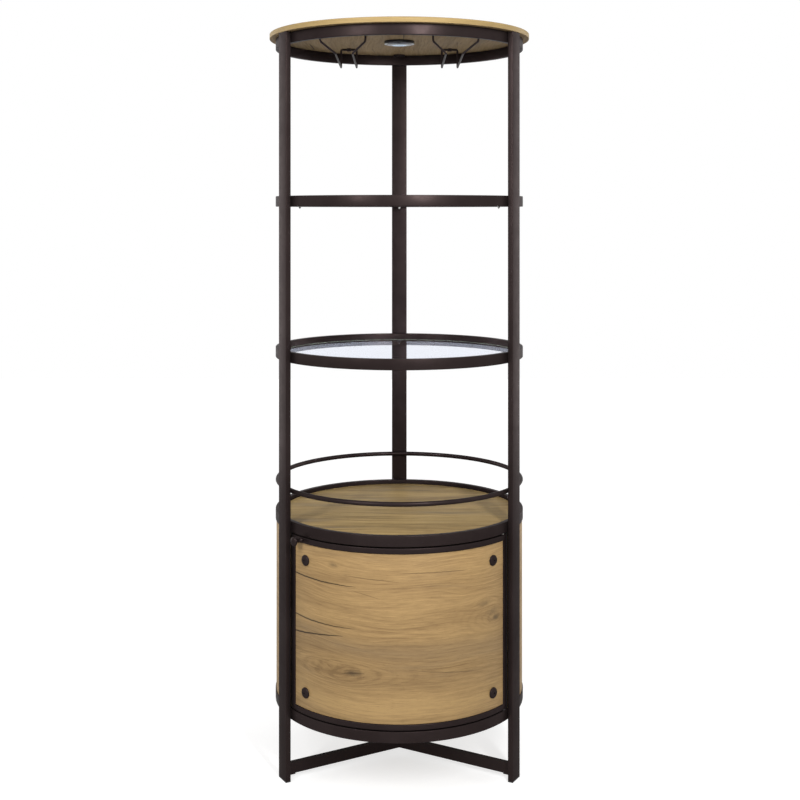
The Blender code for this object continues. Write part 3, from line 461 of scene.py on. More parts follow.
@dataclass(frozen=True)
class Zone:
    """A soft patch of the print that is lighter, greyer or more finely lined than the rest."""

    centre: tuple[float, float]
    reach: tuple[float, float]
    light: float = 0.0
    grey: float = 0.0
    lines: float = 0.0


def crack_group() -> bpy.types.NodeTree:
    """Build the node group that masks one crack.

    Returns:
        The group, with the crack's sizes as its inputs.
    """
    group = bpy.data.node_groups.new("drying crack", "ShaderNodeTree")
    sizes = ("Along", "Across", "Start Along", "Start Across", "End Along", "End Across", "Bow", "Width")
    for name in sizes:
        group.interface.new_socket(name=name, in_out="INPUT", socket_type="NodeSocketFloat")
    group.interface.new_socket(name="Mask", in_out="OUTPUT", socket_type="NodeSocketFloat")
    sheet = Sheet(group)
    given = sheet.node("NodeGroupInput").outputs
    wander_width, least_width = 0.003, 0.00001
    length = sheet.less(given["End Along"], given["Start Along"])
    gone = sheet.less(given["Along"], given["Start Along"])
    run = sheet.math("DIVIDE", gone, length, clamp=True)
    fall = sheet.times(run, sheet.less(given["End Across"], given["Start Across"]))
    taper = sheet.times(sheet.times(run, sheet.less(1.0, run)), 4.0)
    bend = sheet.times(taper, given["Bow"])
    middle = sheet.plus(sheet.plus(given["Start Across"], fall), bend)
    wander = sheet.less(sheet.noise(sheet.place(given["Along"], middle), 60.0, 3.0, 0.6), 0.5)
    middle = sheet.plus(middle, sheet.times(wander, wander_width))
    off = sheet.math("ABSOLUTE", sheet.less(given["Across"], middle))
    half = sheet.times(sheet.math("POWER", taper, 0.6), given["Width"])
    half = sheet.plus(half, least_width)
    mask = sheet.span(sheet.math("DIVIDE", off, half), 0.15, 0.6, 1.0, 0.0)
    between = sheet.math("GREATER_THAN", taper, 0.0)
    sheet.node("NodeGroupOutput", {"Mask": sheet.times(mask, between)})
    return group


@dataclass(frozen=True)
class OakLaminate:
    """Rustic honey oak print on board, read on a piece's own grain map."""

    name: str
    shift: tuple[float, float] = (0.0, 0.0)
    light: Colour = (0.545, 0.354, 0.154)
    dark: Colour = (0.262, 0.161, 0.070)
    grey: Colour = (0.250, 0.180, 0.108)
    knot_colour: Colour = (0.082, 0.058, 0.034)
    crack_colour: Colour = (0.030, 0.019, 0.012)
    greyness: float = 0.35
    contrast: float = 1.0
    middle_tone: float = 0.58
    rough: float = 0.47
    specular: float = 0.22
    drift: float = 0.085
    ring_count: float = 105.0
    line_count: float = 2500.0
    oval_turns: float = 10.5
    oval_fade: float = 0.12
    oval_wobble: float = 0.42
    pore_depth: float = 0.00012
    cracks: tuple[Crack, ...] = ()
    knots: tuple[Knot, ...] = ()
    zones: tuple[Zone, ...] = ()

    @staticmethod
    def off_centre(sheet: Sheet, along: Any, across: Any, spot: Knot | Zone) -> tuple[Socket, Socket]:
        """Measure how far a place is from a spot's centre.

        Args:
            sheet: the material's sheet.
            along: place along the grain.
            across: place across the grain.
            spot: the knot or zone.

        Returns:
            The distance across the grain, and the square of the whole distance in reaches.
        """
        side = sheet.math("DIVIDE", sheet.less(along, spot.centre[0]), spot.reach[0])
        rise = sheet.less(across, spot.centre[1])
        up = sheet.math("DIVIDE", rise, spot.reach[1])
        return rise, sheet.plus(sheet.times(side, side), sheet.times(up, up))

    def flow(self, sheet: Sheet, along: Any, across: Any) -> tuple[Any, Any, Any]:
        """Bend the grain round the knots.

        Args:
            sheet: the material's sheet.
            along: place along the grain.
            across: place across the grain.

        Returns:
            The bent place across the grain, the knots' mask, and the dark ovals round them.
        """
        wobble = sheet.noise(sheet.place(along, across), 90.0, 3.0, 0.6)
        shade, ovals = 0.0, 0.0
        for knot in self.knots:
            rise, square = self.off_centre(sheet, along, across, knot)
            near = sheet.math("EXPONENT", sheet.times(square, -knot.spread))
            bend = sheet.times(sheet.times(rise, near), knot.push)
            across = sheet.less(across, bend)
            away = sheet.math("SQRT", square)
            far = sheet.plus(away, sheet.times(wobble, 0.9))
            shade = sheet.math("MAXIMUM", shade, sheet.span(far, 0.45, 1.45, knot.strength, 0.0))
            if knot.ovals:
                path = sheet.plus(away, sheet.times(wobble, self.oval_wobble))
                wave = sheet.math("SINE", sheet.times(path, self.oval_turns))
                wave = sheet.math("POWER", sheet.math("MULTIPLY_ADD", wave, 0.5, 0.5), 3.0)
                fade = sheet.math("EXPONENT", sheet.times(square, -self.oval_fade))
                ovals = sheet.math("MULTIPLY_ADD", sheet.times(wave, fade), knot.ovals, ovals)
        return across, shade, ovals

    def weigh_zones(self, sheet: Sheet, along: Any, across: Any) -> tuple[Any, Any, Any]:
        """Add up the zones at a place.

        Args:
            sheet: the material's sheet.
            along: place along the grain.
            across: place across the grain.

        Returns:
            How much lighter, greyer and more finely lined the print is there.
        """
        totals = [0.0, 0.0, 0.0]
        for zone in self.zones:
            square = self.off_centre(sheet, along, across, zone)[1]
            weight = sheet.math("EXPONENT", sheet.times(square, -1.0))
            for index, amount in enumerate((zone.light, zone.grey, zone.lines)):
                if amount:
                    totals[index] = sheet.math("MULTIPLY_ADD", weight, amount, totals[index])
        return totals[0], totals[1], totals[2]

    def add_cracks(self, sheet: Sheet, along: Any, across: Any, colour: Socket) -> Socket:
        """Darken the print along its cracks.

        Args:
            sheet: the material's sheet.
            along: place along the grain.
            across: place across the grain.
            colour: the print without them.

        Returns:
            The colour with them.
        """
        group = crack_group()
        marks = 0.0
        for crack in self.cracks:
            mask = sheet.node("ShaderNodeGroup", {
                "Along": along, "Across": across, "Start Along": crack.start[0],
                "Start Across": crack.start[1], "End Along": crack.end[0], "End Across": crack.end[1],
                "Bow": crack.bow, "Width": crack.width,
            }, node_tree=group)
            mark = sheet.times(mask.outputs[0], crack.strength)
            marks = sheet.math("MAXIMUM", marks, mark)
        return sheet.mix(marks, colour, self.crack_colour)

    def material(self) -> Material:
        """Build the print: bands, growth lines, fibres, pores, zones, knots and cracks.

        Returns:
            The material.
        """
        material, sheet, shader = shader_sheet(self.name, self.light)
        grain = sheet.node("ShaderNodeUVMap", uv_map="grain").outputs[0]
        split = sheet.node("ShaderNodeSeparateXYZ", {0: grain})
        along, across = split.outputs[0], split.outputs[1]
        bent, knot_shade, ovals = self.flow(sheet, along, across)
        u = sheet.plus(along, self.shift[0])
        v = sheet.plus(bent, self.shift[1])
        wide = sheet.place(sheet.times(u, 1.6), sheet.times(v, 3.4))
        drift = sheet.less(sheet.noise(wide, 1.0), 0.5)
        v = sheet.plus(v, sheet.times(drift, self.drift))

        def streaks(length: float, width: float, detail: float, rough: float) -> Socket:
            """Return noise drawn out along the grain, with marks of that length and width."""
            place = sheet.place(sheet.math("DIVIDE", u, length), sheet.math("DIVIDE", v, width))
            return sheet.noise(place, 1.0, detail, rough)

        def centred(value: Socket) -> Socket:
            """Return a noise's swing about its middle."""
            return sheet.less(value, 0.5)

        bands = streaks(0.42, 0.050, 3.0, 0.55)
        lines = streaks(0.16, 0.0085, 4.0, 0.66)
        fibre = streaks(0.040, 0.0022, 3.0, 0.65)
        pores = streaks(0.011, 0.00080, 1.0, 0.5)
        lighter, greyer, lined = self.weigh_zones(sheet, along, sheet.less(v, self.shift[1]))
        rings = sheet.times(v, self.ring_count)
        rings = sheet.plus(rings, sheet.times(bands, 5.0))
        growth = sheet.math("POWER", sheet.math("FRACT", rings), 2.5)
        patches = sheet.span(streaks(0.25, 0.06, 1.0, 0.5), 0.35, 0.7, 0.1, 1.0)
        growth = sheet.times(sheet.times(growth, patches), 0.30 * self.contrast)
        waves = sheet.math("MULTIPLY_ADD", v, self.line_count, sheet.times(lines, 9.0))
        tone = sheet.times(centred(bands), self.contrast)
        tone = sheet.math("MULTIPLY_ADD", centred(lines), self.contrast, tone)
        tone = sheet.math("MULTIPLY_ADD", centred(fibre), 1.15, tone)
        tone = sheet.less(sheet.plus(tone, lighter), ovals)
        tone = sheet.math("MULTIPLY_ADD", sheet.math("SINE", waves), lined, tone)
        tone = sheet.less(sheet.plus(tone, self.middle_tone), growth, clamp=True)
        colour = sheet.mix(tone, self.dark, self.light)
        smoky = sheet.span(streaks(0.30, 0.034, 3.0, 0.6), 0.5, 0.78, 0.0, self.greyness)
        colour = sheet.mix(sheet.plus(smoky, greyer, clamp=True), colour, self.grey)
        dashes = sheet.span(pores, 0.62, 0.8, 0.0, 0.38)
        colour = sheet.mix(dashes, colour, self.dark, "MULTIPLY")
        if self.knots:
            colour = sheet.mix(knot_shade, colour, self.knot_colour)
        if self.cracks:
            colour = self.add_cracks(sheet, along, across, colour)
        relief = sheet.less(fibre, sheet.times(dashes, 1.2))
        sheet.wire(shader, {
            "Base Color": colour,
            "Roughness": sheet.span(lines, 0.3, 0.7, self.rough + 0.06, self.rough - 0.04),
            "Specular IOR Level": self.specular,
            "Normal": sheet.bump(relief, self.pore_depth, 0.4),
        })
        return material


@dataclass(frozen=True)
class ClearGlass:
    """Clear float glass, faintly blue."""

    name: str = "clear_shelf_glass"
    tint: Colour = (0.73, 0.79, 0.95)
    smear: float = 0.03
    bending: float = 1.5

    def material(self) -> Material:
        """Build the glass, with the faint smears of a wiped pane.

        Returns:
            The material.
        """
        material, sheet, shader = shader_sheet(self.name, self.tint)
        smears = sheet.noise(sheet.here(), 14.0, 4.0, 0.6)
        sheet.wire(shader, {
            "Base Color": opaque(self.tint),
            "Roughness": sheet.span(smears, 0.45, 0.8, 0.0, self.smear),
            "Transmission Weight": 1.0,
            "IOR": self.bending,
        })
        return material


@dataclass(frozen=True)
class GroundGlass:
    """The finely ground edge of a glass shelf, grey-green."""

    name: str = "ground_glass_edge"
    tint: Colour = (0.60, 0.67, 0.52)
    specular: float = 0.2
    line_depth: float = 0.00002

    def material(self) -> Material:
        """Build the edge: pale and opaque, with the lines that the wheel leaves.

        Returns:
            The material.
        """
        material, sheet, shader = shader_sheet(self.name, self.tint)
        stretch = {"Vector": sheet.here(), "Scale": (1.0, 1.0, 14.0)}
        lines = sheet.noise(sheet.node("ShaderNodeMapping", stretch).outputs[0], 150.0, 3.0, 0.6)
        sheet.wire(shader, {
            "Base Color": sheet.mix(sheet.span(lines, 0.3, 0.7), dimmed(self.tint, 0.93), self.tint),
            "Roughness": sheet.span(lines, 0.3, 0.7, 0.55, 0.65),
            "Specular IOR Level": self.specular,
            "Normal": sheet.bump(lines, self.line_depth, 0.4),
        })
        return material


@dataclass(frozen=True)
class Plastic:
    """Moulded plastic with a fine spark-eroded skin."""

    name: str
    colour: Colour
    rough: float = 0.5
    see_through: float = 0.0
    skin_depth: float = 0.00002

    def material(self) -> Material:
        """Build the plastic: a little mottling and a fine grain.

        Returns:
            The material.
        """
        material, sheet, shader = shader_sheet(self.name, self.colour)
        place = sheet.here()
        cloud = sheet.span(sheet.noise(place, 90.0, 3.0, 0.6), 0.3, 0.7)
        skin = sheet.noise(place, 2400.0, 2.0, 0.5)
        sheet.wire(shader, {
            "Base Color": sheet.mix(cloud, dimmed(self.colour, 0.82), self.colour),
            "Roughness": sheet.span(skin, 0.3, 0.7, self.rough - 0.06, self.rough + 0.08),
            "Transmission Weight": self.see_through,
            "Normal": sheet.bump(skin, self.skin_depth, 0.5),
        })
        return material


@dataclass(frozen=True)
class ZincSteel:
    """Zinc plated steel, with the dull bloom that plating has."""

    name: str = "zinc_plated_steel"
    colour: Colour = (0.55, 0.54, 0.51)
    scratch_depth: float = 0.00002

    def material(self) -> Material:
        """Build the plating: cloudy tone and fine scratches.

        Returns:
            The material.
        """
        material, sheet, shader = shader_sheet(self.name, self.colour)
        place = sheet.here()
        cloud = sheet.noise(place, 160.0, 3.0, 0.6)
        sheet.wire(shader, {
            "Base Color": sheet.mix(sheet.span(cloud, 0.3, 0.7), dimmed(self.colour, 0.75), self.colour),
            "Roughness": sheet.span(cloud, 0.3, 0.7, 0.28, 0.44),
            "Metallic": 1.0,
            "Normal": sheet.bump(sheet.noise(place, 900.0, 2.0, 0.5), self.scratch_depth, 0.4),
        })
        return material


@dataclass(frozen=True)
class LitLens:
    """Frosted lens, lit from behind by small light sources."""

    name: str = "frosted_lens"
    colour: Colour = (0.52, 0.60, 0.68)
    shade: Colour = (0.12, 0.12, 0.13)
    glow_between: Colour = (0.42, 0.52, 0.62)
    glow_over: Colour = (0.78, 0.90, 1.0)
    glow: float = 0.34
    lit_radius: float = 0.0235
    soft_edge: float = 0.010
    frost_depth: float = 0.00002

    def material(self) -> Material:
        """Build the lens: bright over the light sources, dimmer between them, and dark round them.

        Returns:
            The material.
        """
        material, sheet, shader = shader_sheet(self.name, self.colour)
        place = sheet.here()
        flat = sheet.node("ShaderNodeVectorMath", {0: place, 1: (1.0, 1.0, 0.0)}, operation="MULTIPLY")
        away = sheet.length(flat.outputs[0])
        inside = sheet.span(away, self.lit_radius - self.soft_edge, self.lit_radius, 1.0, 0.0)
        cells = sheet.node("ShaderNodeTexVoronoi", {"Vector": place, "Scale": 75.0}, feature="SMOOTH_F1")
        bright = sheet.span(cells.outputs[0], 0.1, 0.8, 1.0, 0.55)
        frost = sheet.noise(place, 1300.0, 2.0, 0.5)
        sheet.wire(shader, {
            "Base Color": sheet.mix(inside, self.shade, self.colour),
            "Roughness": sheet.span(frost, 0.3, 0.7, 0.22, 0.36),
            "Emission Color": sheet.mix(bright, self.glow_between, self.glow_over),
            "Emission Strength": sheet.times(inside, self.glow),
            "Normal": sheet.bump(frost, self.frost_depth, 0.5),
        })
        return material


@dataclass
class Palette:
    """Every finish of the cabinet, built once."""

    bronze: Material = field(default_factory=BronzeCoat().material)
    glass: Material = field(default_factory=ClearGlass().material)
    glass_edge: Material = field(default_factory=GroundGlass().material)
    soft: Material = field(
        default_factory=Plastic("milky_bumper_plastic", (0.6, 0.6, 0.57), 0.4, 0.3).material)
    black: Material = field(
        default_factory=Plastic("black_nylon", (0.014, 0.013, 0.013), 0.5).material)
    gloss: Material = field(
        default_factory=Plastic("gloss_black_bezel", (0.010, 0.011, 0.013), 0.18).material)
    board: Material = field(
        default_factory=Plastic("white_lamp_board", (0.72, 0.72, 0.70), 0.45).material)
    # The side boards' ends take this near-black finish as painted shade, for the shadowed gap beside the
    # door.
    painted_end_shade: Material = field(
        default_factory=Plastic("dark_sealed_end", (0.016, 0.011, 0.009), 0.7).material)
    steel: Material = field(default_factory=ZincSteel().material)
    lens: Material = field(default_factory=LitLens().material)
    door_oak: Material = field(default_factory=OakLaminate(
        "oak_door",
        shift=(3.1, 1.7),
        greyness=0.30,
        cracks=(
            Crack((-0.370, 0.5040), (-0.100, 0.4912), -0.0030, 0.0040, 0.95),
            Crack((-0.370, 0.4110), (-0.100, 0.3965), -0.0050, 0.0038, 0.88),
            Crack((-0.350, 0.3520), (-0.130, 0.3772), 0.0008, 0.0044, 0.94),
            Crack((-0.130, 0.5148), (0.000, 0.5075), 0.0005, 0.0026, 0.42),
            Crack((0.000, 0.5262), (0.165, 0.5235), 0.0010, 0.0028, 0.55),
            Crack((-0.110, 0.4830), (-0.042, 0.4680), 0.0000, 0.0022, 0.40),
            Crack((0.020, 0.3105), (0.205, 0.2885), -0.0012, 0.0022, 0.42),
            Crack((-0.135, 0.2925), (-0.078, 0.2980), 0.0016, 0.0036, 0.50),
            Crack((-0.132, 0.2990), (-0.085, 0.3040), 0.0020, 0.0024, 0.34),
        ),
        knots=(
            Knot((-0.107, 0.2965), (0.026, 0.0095), 0.66, 0.9, 0.16),
            Knot((-0.195, 0.3020), (0.042, 0.0110), 0.0, 0.9, 0.22),
            Knot((-0.125, 0.2965), (0.070, 0.0105), 0.0, 0.0, 0.0, 0.25),
            Knot((0.244, 0.4030), (0.034, 0.0150), 0.0, 0.0, 0.0, 0.15),
            Knot((0.250, 0.3990), (0.022, 0.0100), 0.72),
            Knot((0.212, 0.4380), (0.030, 0.0120), 0.44),
            Knot((0.238, 0.4130), (0.032, 0.0200), 0.40),
            Knot((-0.158, 0.5350), (0.018, 0.0080), 0.50),
        ),
        zones=(
            Zone((0.020, 0.548), (0.400, 0.028), grey=-0.10),
            Zone((0.020, 0.512), (0.350, 0.028), light=-0.08),
            Zone((-0.200, 0.495), (0.080, 0.018), light=-0.14),
            Zone((0.000, 0.228), (0.400, 0.036), light=0.26, grey=-0.16),
            Zone((-0.130, 0.212), (0.200, 0.018), light=0.26),
            Zone((0.030, 0.430), (0.170, 0.045), light=0.02, grey=-0.25),
            Zone((0.020, 0.466), (0.150, 0.020), light=-0.08),
            Zone((0.000, 0.347), (0.360, 0.025), light=-0.19, grey=0.32),
            Zone((0.210, 0.326), (0.110, 0.036), light=0.10, grey=0.05, lines=0.10),
            Zone((-0.170, 0.298), (0.120, 0.035), light=-0.12, lines=0.11),
            Zone((0.030, 0.270), (0.260, 0.020), light=-0.10, grey=0.10),
        ),
    ).material)
    top_oak: Material = field(default_factory=OakLaminate(
        "oak_top",
        shift=(1.3, 4.2),
        light=(0.312, 0.214, 0.106),
        dark=(0.140, 0.092, 0.046),
        grey=(0.174, 0.136, 0.096),
        greyness=0.55,
        rough=0.60,
        specular=0.05,
        cracks=(
            Crack((0.055, -0.2262), (0.175, -0.2222), 0.0010, 0.0050, 0.9),
            Crack((-0.285, 0.0109), (-0.034, 0.0109), 0.0, 0.0044, 0.92),
            Crack((0.150, -0.0700), (0.250, -0.0640), 0.0, 0.0040, 0.5),
            Crack((0.020, 0.1450), (0.120, 0.1490), 0.0, 0.0030, 0.4),
        ),
        knots=(
            Knot((0.252, -0.0020), (0.020, 0.0110), 0.6),
            Knot((-0.120, 0.2300), (0.020, 0.0100), 0.3),
        ),
    ).material)
    drum_oak: Material = field(default_factory=OakLaminate(
        "oak_drum_top",
        shift=(6.4, 0.6),
        light=(0.420, 0.288, 0.115),
        dark=(0.168, 0.109, 0.044),
        grey=(0.184, 0.141, 0.085),
        greyness=0.80,
        rough=0.56,
        specular=0.08,
        contrast=1.6,
        cracks=(
            Crack((-0.235, -0.0330), (-0.120, -0.0330), 0.0012, 0.0050, 0.35),
            Crack((0.040, -0.0860), (0.180, -0.0540), 0.0, 0.0050, 0.30),
        ),
        knots=(Knot((0.2188, 0.0199), (0.014, 0.0110), 0.42),),
    ).material)
    # The sides' print is the door's oak dimmed to about 0.8 of it, as painted shade for boards turned from
    # the light; its grain, cracks and knot are real print.
    side_oak_and_shade: Material = field(default_factory=OakLaminate(
        "oak_sides",
        shift=(9.7, 2.9),
        light=(0.440, 0.288, 0.125),
        dark=(0.211, 0.132, 0.058),
        specular=0.08,
        cracks=(
            Crack((0.400, 0.3200), (0.560, 0.3260), 0.0, 0.0032, 0.7),
            Crack((0.620, 0.4500), (0.740, 0.4520), 0.001, 0.0030, 0.6),
        ),
        knots=(Knot((0.520, 0.4600), (0.020, 0.0090), 0.4),),
    ).material)
    edge_oak: Material = field(default_factory=OakLaminate(
        "oak_edge_band",
        shift=(0.4, 7.7),
        light=(0.470, 0.338, 0.150),
        dark=(0.310, 0.212, 0.090),
        greyness=0.12,
        specular=0.06,
    ).material)


class Draft:
    """A mesh being drawn, with the few shapes that the cabinet's pieces are made of."""

    def __init__(self) -> None:
        """Start an empty mesh."""
        self.mesh = bmesh.new()

    def skin(self, rows: Sequence[Sequence[Point]], wrap: bool = False, place: Matrix | None = None) -> None:
        """Skin a run of closed rows of points.

        Args:
            rows: loops with as many points each.
            wrap: whether the last row joins the first, or both get an end face.
            place: where the shape goes.
        """
        place = place or Matrix.Identity(4)
        laid = [[self.mesh.verts.new(place @ Vector(point)) for point in row] for row in rows]
        pairs = list(zip(laid, laid[1:]))
        if wrap:
            pairs.append((laid[-1], laid[0]))
        for row, following in pairs:
            for index in range(len(row)):
                after = (index + 1) % len(row)
                self.mesh.faces.new((row[index], row[after], following[after], following[index]))
        if not wrap:
            self.mesh.faces.new(reversed(laid[0]))
            self.mesh.faces.new(laid[-1])

    def turn(self, profile: Profile, steps: int, wrap: bool = False, place: Matrix | None = None) -> None:
        """Turn a profile of (radius, height) points about Z.

        Args:
            profile: the points, closed by end faces, or by itself if wrap is set.
            steps: parts round the circle.
            wrap: whether the profile is a closed loop, as on a ring.
            place: where the shape goes.
        """
        self.skin([circle(radius, steps, height) for radius, height in profile], wrap, place)

    def bend(self, section: Profile, angles: Sequence[float]) -> None:
        """Carry a (radius, height) section round part of the cabinet.

        Args:
            section: the section's closed outline.
            angles: the angles that it passes, in degrees.
        """
        self.skin([[polar(radius, angle, height) for radius, height in section] for angle in angles])

    def bar(self, section: Profile, low: float, high: float, place: Matrix | None = None) -> None:
        """Raise an (x, y) outline from one height to another."""
        self.skin([[(x, y, height) for x, y in section] for height in (low, high)], place=place)

    def pierced(self, outline: Profile, hole: Profile, low: float, high: float, place: Matrix) -> None:
        """Raise a flat outline with a hole in it.

        Args:
            outline: the outer (x, y) points.
            hole: the hole's (x, y) points.
            low: height of the underside.
            high: height of the top.
            place: where the plate goes.
        """
        edges = []
        for loop in (outline, hole):
            verts = [self.mesh.verts.new(place @ Vector((x, y, low))) for x, y in loop]
            edges += [self.mesh.edges.new(pair) for pair in zip(verts, verts[1:] + verts[:1])]
        flat = bmesh.ops.triangle_fill(self.mesh, edges=edges, use_beauty=True)["geom"]
        faces = [item for item in flat if isinstance(item, bmesh.types.BMFace)]
        grown = bmesh.ops.extrude_face_region(self.mesh, geom=faces, use_keep_orig=True)["geom"]
        raised = [item for item in grown if isinstance(item, bmesh.types.BMVert)]
        bmesh.ops.translate(self.mesh, verts=raised, vec=place.to_3x3() @ Vector((0.0, 0.0, high - low)))

    def ease_edges(self, sharper_than: float, radius: float) -> None:
        """Round the edges where two faces meet at more than an angle.

        Args:
            sharper_than: that angle, in radians.
            radius: how far the edges are rounded.
        """
        edges = [edge for edge in self.mesh.edges if edge.calc_face_angle(0.0) > sharper_than]
        bmesh.ops.bevel(self.mesh, geom=edges, offset=radius, segments=3, profile=0.5, affect="EDGES")

    def part_edge(self, level: float) -> None:
        """Give the level faces the first finish and the edge the second.

        Args:
            level: how upright a face's normal is at least where the face counts as level.
        """
        for face in self.mesh.faces:
            face.normal_update()
            face.material_index = 0 if abs(face.normal.z) > level else 1

    def add(self, mesh: bpy.types.Mesh) -> None:
        """Take in a finished mesh."""
        self.mesh.from_mesh(mesh)

    def lay_grain(self, way: GrainMap) -> None:
        """Write the grain map.

        Args:
            way: gives the place along and across the grain, from a point and its face's normal.
        """
        layer = self.mesh.loops.layers.uv.new("grain")
        bmesh.ops.recalc_face_normals(self.mesh, faces=self.mesh.faces)
        for face in self.mesh.faces:
            for corner in face.loops:
                corner[layer].uv = way(corner.vert.co, face.normal)

    def make(self, name: str, finishes: Sequence[Material], body: Body, stands_for: Sequence[str] = ()) -> bpy.types.Object:
        """Close the draft into a piece that rides on its body.

        Args:
            name: the piece's name.
            finishes: its materials.
            body: what it moves with.
            stands_for: the model's nodes that it replaces.

        Returns:
            The piece.
        """
        bmesh.ops.recalc_face_normals(self.mesh, faces=self.mesh.faces)
        mesh = bpy.data.meshes.new(name)
        self.mesh.to_mesh(mesh)
        self.mesh.free()
        mesh.shade_smooth()
        mesh.set_sharp_from_angle(angle=radians(CREASE_ANGLE))
        for finish in finishes:
            mesh.materials.append(finish)
        piece = bpy.data.objects.new(name, mesh)
        bpy.context.scene.collection.objects.link(piece)
        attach(piece, body.value)
        if stands_for:
            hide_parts(*stands_for)
        log.info("%s: %d faces on %s", name, len(mesh.polygons), body.value)
        return piece


def disc_grain(along: str, radius: float) -> GrainMap:
    """Map the grain of a round board.

    Args:
        along: the axis that the grain runs along, X or Y.
        radius: the board's radius.

    Returns:
        The map, flat on both faces and round on the edge.
    """
    level = 0.7

    def way(point: Vector, normal: Vector) -> tuple[float, float]:
        """Return the place on the grain of one corner."""
        if abs(normal.z) > level:
            return (point.x, point.y) if along == "X" else (point.y, point.x)
        return radius * atan2(point.x, -point.y), point.z
    return way


def round_grain(radius: float) -> GrainMap:
    """Return the grain map of a piece bent about the cabinet's axis."""
    return lambda point, normal: (radius * atan2(point.x, -point.y), point.z)


class GeometrySheet(Sheet):
    """A Geometry Nodes tree with named inputs, turned into plain meshes."""

    def __init__(self, name: str, inputs: dict[str, Any], takes_mesh: bool = False) -> None:
        """Start a tree.

        Args:
            name: the tree's name.
            inputs: each input's name, with its usual value or None for a material.
            takes_mesh: whether it starts from a mesh.
        """
        super().__init__(bpy.data.node_groups.new(name, "GeometryNodeTree"))
        sockets = self.tree.interface
        sockets.new_socket(name="Geometry", in_out="OUTPUT", socket_type="NodeSocketGeometry")
        self.keys = {}
        if takes_mesh:
            sockets.new_socket(name="Geometry", in_out="INPUT", socket_type="NodeSocketGeometry")
        kinds = {int: "NodeSocketInt", float: "NodeSocketFloat", type(None): "NodeSocketMaterial"}
        for label, value in inputs.items():
            socket = sockets.new_socket(name=label, in_out="INPUT", socket_type=kinds[type(value)])
            if value is not None:
                socket.default_value = value
            self.keys[label] = socket.identifier
        self.given = self.node("NodeGroupInput").outputs

    def step(self, kind: str, inputs: dict[str | int, Any], **settings: Any) -> Socket:
        """Return the first output of a new Geometry Nodes node."""
        return self.node("GeometryNode" + kind, inputs, **settings).outputs[0]

    def moved(self, geometry: Socket, **how: Any) -> Socket:
        """Return geometry with a Translation, Rotation or Scale."""
        return self.step("Transform", {"Geometry": geometry, **how})

    def close(self, geometry: Socket) -> None:
        """End the tree in real, dressed geometry.

        Args:
            geometry: the output to end with.
        """
        real = self.step("RealizeInstances", {0: geometry})
        inputs = {"Geometry": real, "Material": self.given["Finish"]}
        self.node("NodeGroupOutput", {0: self.step("SetMaterial", inputs)})

    def grow(self, source: bpy.types.Mesh | None = None, **sizes: Any) -> bpy.types.Mesh:
        """Run the tree and keep its result.

        Args:
            source: the mesh that the tree starts from.
            **sizes: values for the inputs, with _ for each space in their names.

        Returns:
            The plain mesh.
        """
        holder = bpy.data.objects.new("tree_holder", source or bpy.data.meshes.new("empty_start"))
        bpy.context.scene.collection.objects.link(holder)
        modifier = holder.modifiers.new("tree", "NODES")
        modifier.node_group = self.tree
        for label, value in sizes.items():
            modifier[self.keys[label.replace("_", " ")]] = value
        graph = bpy.context.evaluated_depsgraph_get()
        mesh = bpy.data.meshes.new_from_object(holder.evaluated_get(graph))
        bpy.data.objects.remove(holder)
        return mesh


def rolled_ring_tree() -> GeometrySheet:
    """Build the tree of a rolled rectangular tube ring.

    Returns:
        The tree.
    """
    sheet = GeometrySheet("rolled ring", {
        "Radius": 0.3, "Depth": 0.0127, "Height": 0.0254, "Corner": 0.0015, "Underside": 0.0,
        "Steps": ROUND_STEPS, "Corner Steps": 4, "Finish": None,
    })
    given = sheet.given
    middle = sheet.less(given["Radius"], sheet.times(given["Depth"], 0.5))
    path = sheet.step("CurvePrimitiveCircle", {"Resolution": given["Steps"], "Radius": middle})
    inputs = {"Width": given["Depth"], "Height": given["Height"]}
    section = sheet.step("CurvePrimitiveQuadrilateral", inputs)
    inputs = {"Curve": section, "Radius": given["Corner"], "Count": given["Corner Steps"]}
    rounded_section = sheet.step("FilletCurve", inputs, mode="POLY")
    inputs = {"Curve": path, "Profile Curve": rounded_section}
    tube = sheet.step("CurveToMesh", inputs)
    lift = sheet.plus(given["Underside"], sheet.times(given["Height"], 0.5))
    sheet.close(sheet.moved(tube, Translation=sheet.place(0.0, 0.0, lift)))
    return sheet


def bent_wire_tree() -> GeometrySheet:
    """Build the tree of a wire bent along a run of edges.

    Returns:
        The tree.
    """
    sheet = GeometrySheet("bent wire", {
        "Wire Radius": 0.0025, "Bend Radius": 0.008, "Loop Bend Radius": 0.004, "Bend Steps": 8, "Sides": 16,
        "Finish": None,
    }, takes_mesh=True)
    given = sheet.given
    path = sheet.step("MeshToCurve", {"Mesh": given["Geometry"]})
    less = sheet.less(given["Loop Bend Radius"], given["Bend Radius"])
    tight = sheet.step("InputNamedAttribute", {"Name": "tight"}, data_type="FLOAT")
    radius = sheet.plus(given["Bend Radius"], sheet.times(tight, less))
    inputs = {"Curve": path, "Radius": radius, "Count": given["Bend Steps"]}
    bent = sheet.step("FilletCurve", inputs, mode="POLY")
    inputs = {"Resolution": given["Sides"], "Radius": given["Wire Radius"]}
    section = sheet.step("CurvePrimitiveCircle", inputs)
    inputs = {"Curve": bent, "Profile Curve": section, "Fill Caps": True}
    sheet.close(sheet.step("CurveToMesh", inputs))
    return sheet


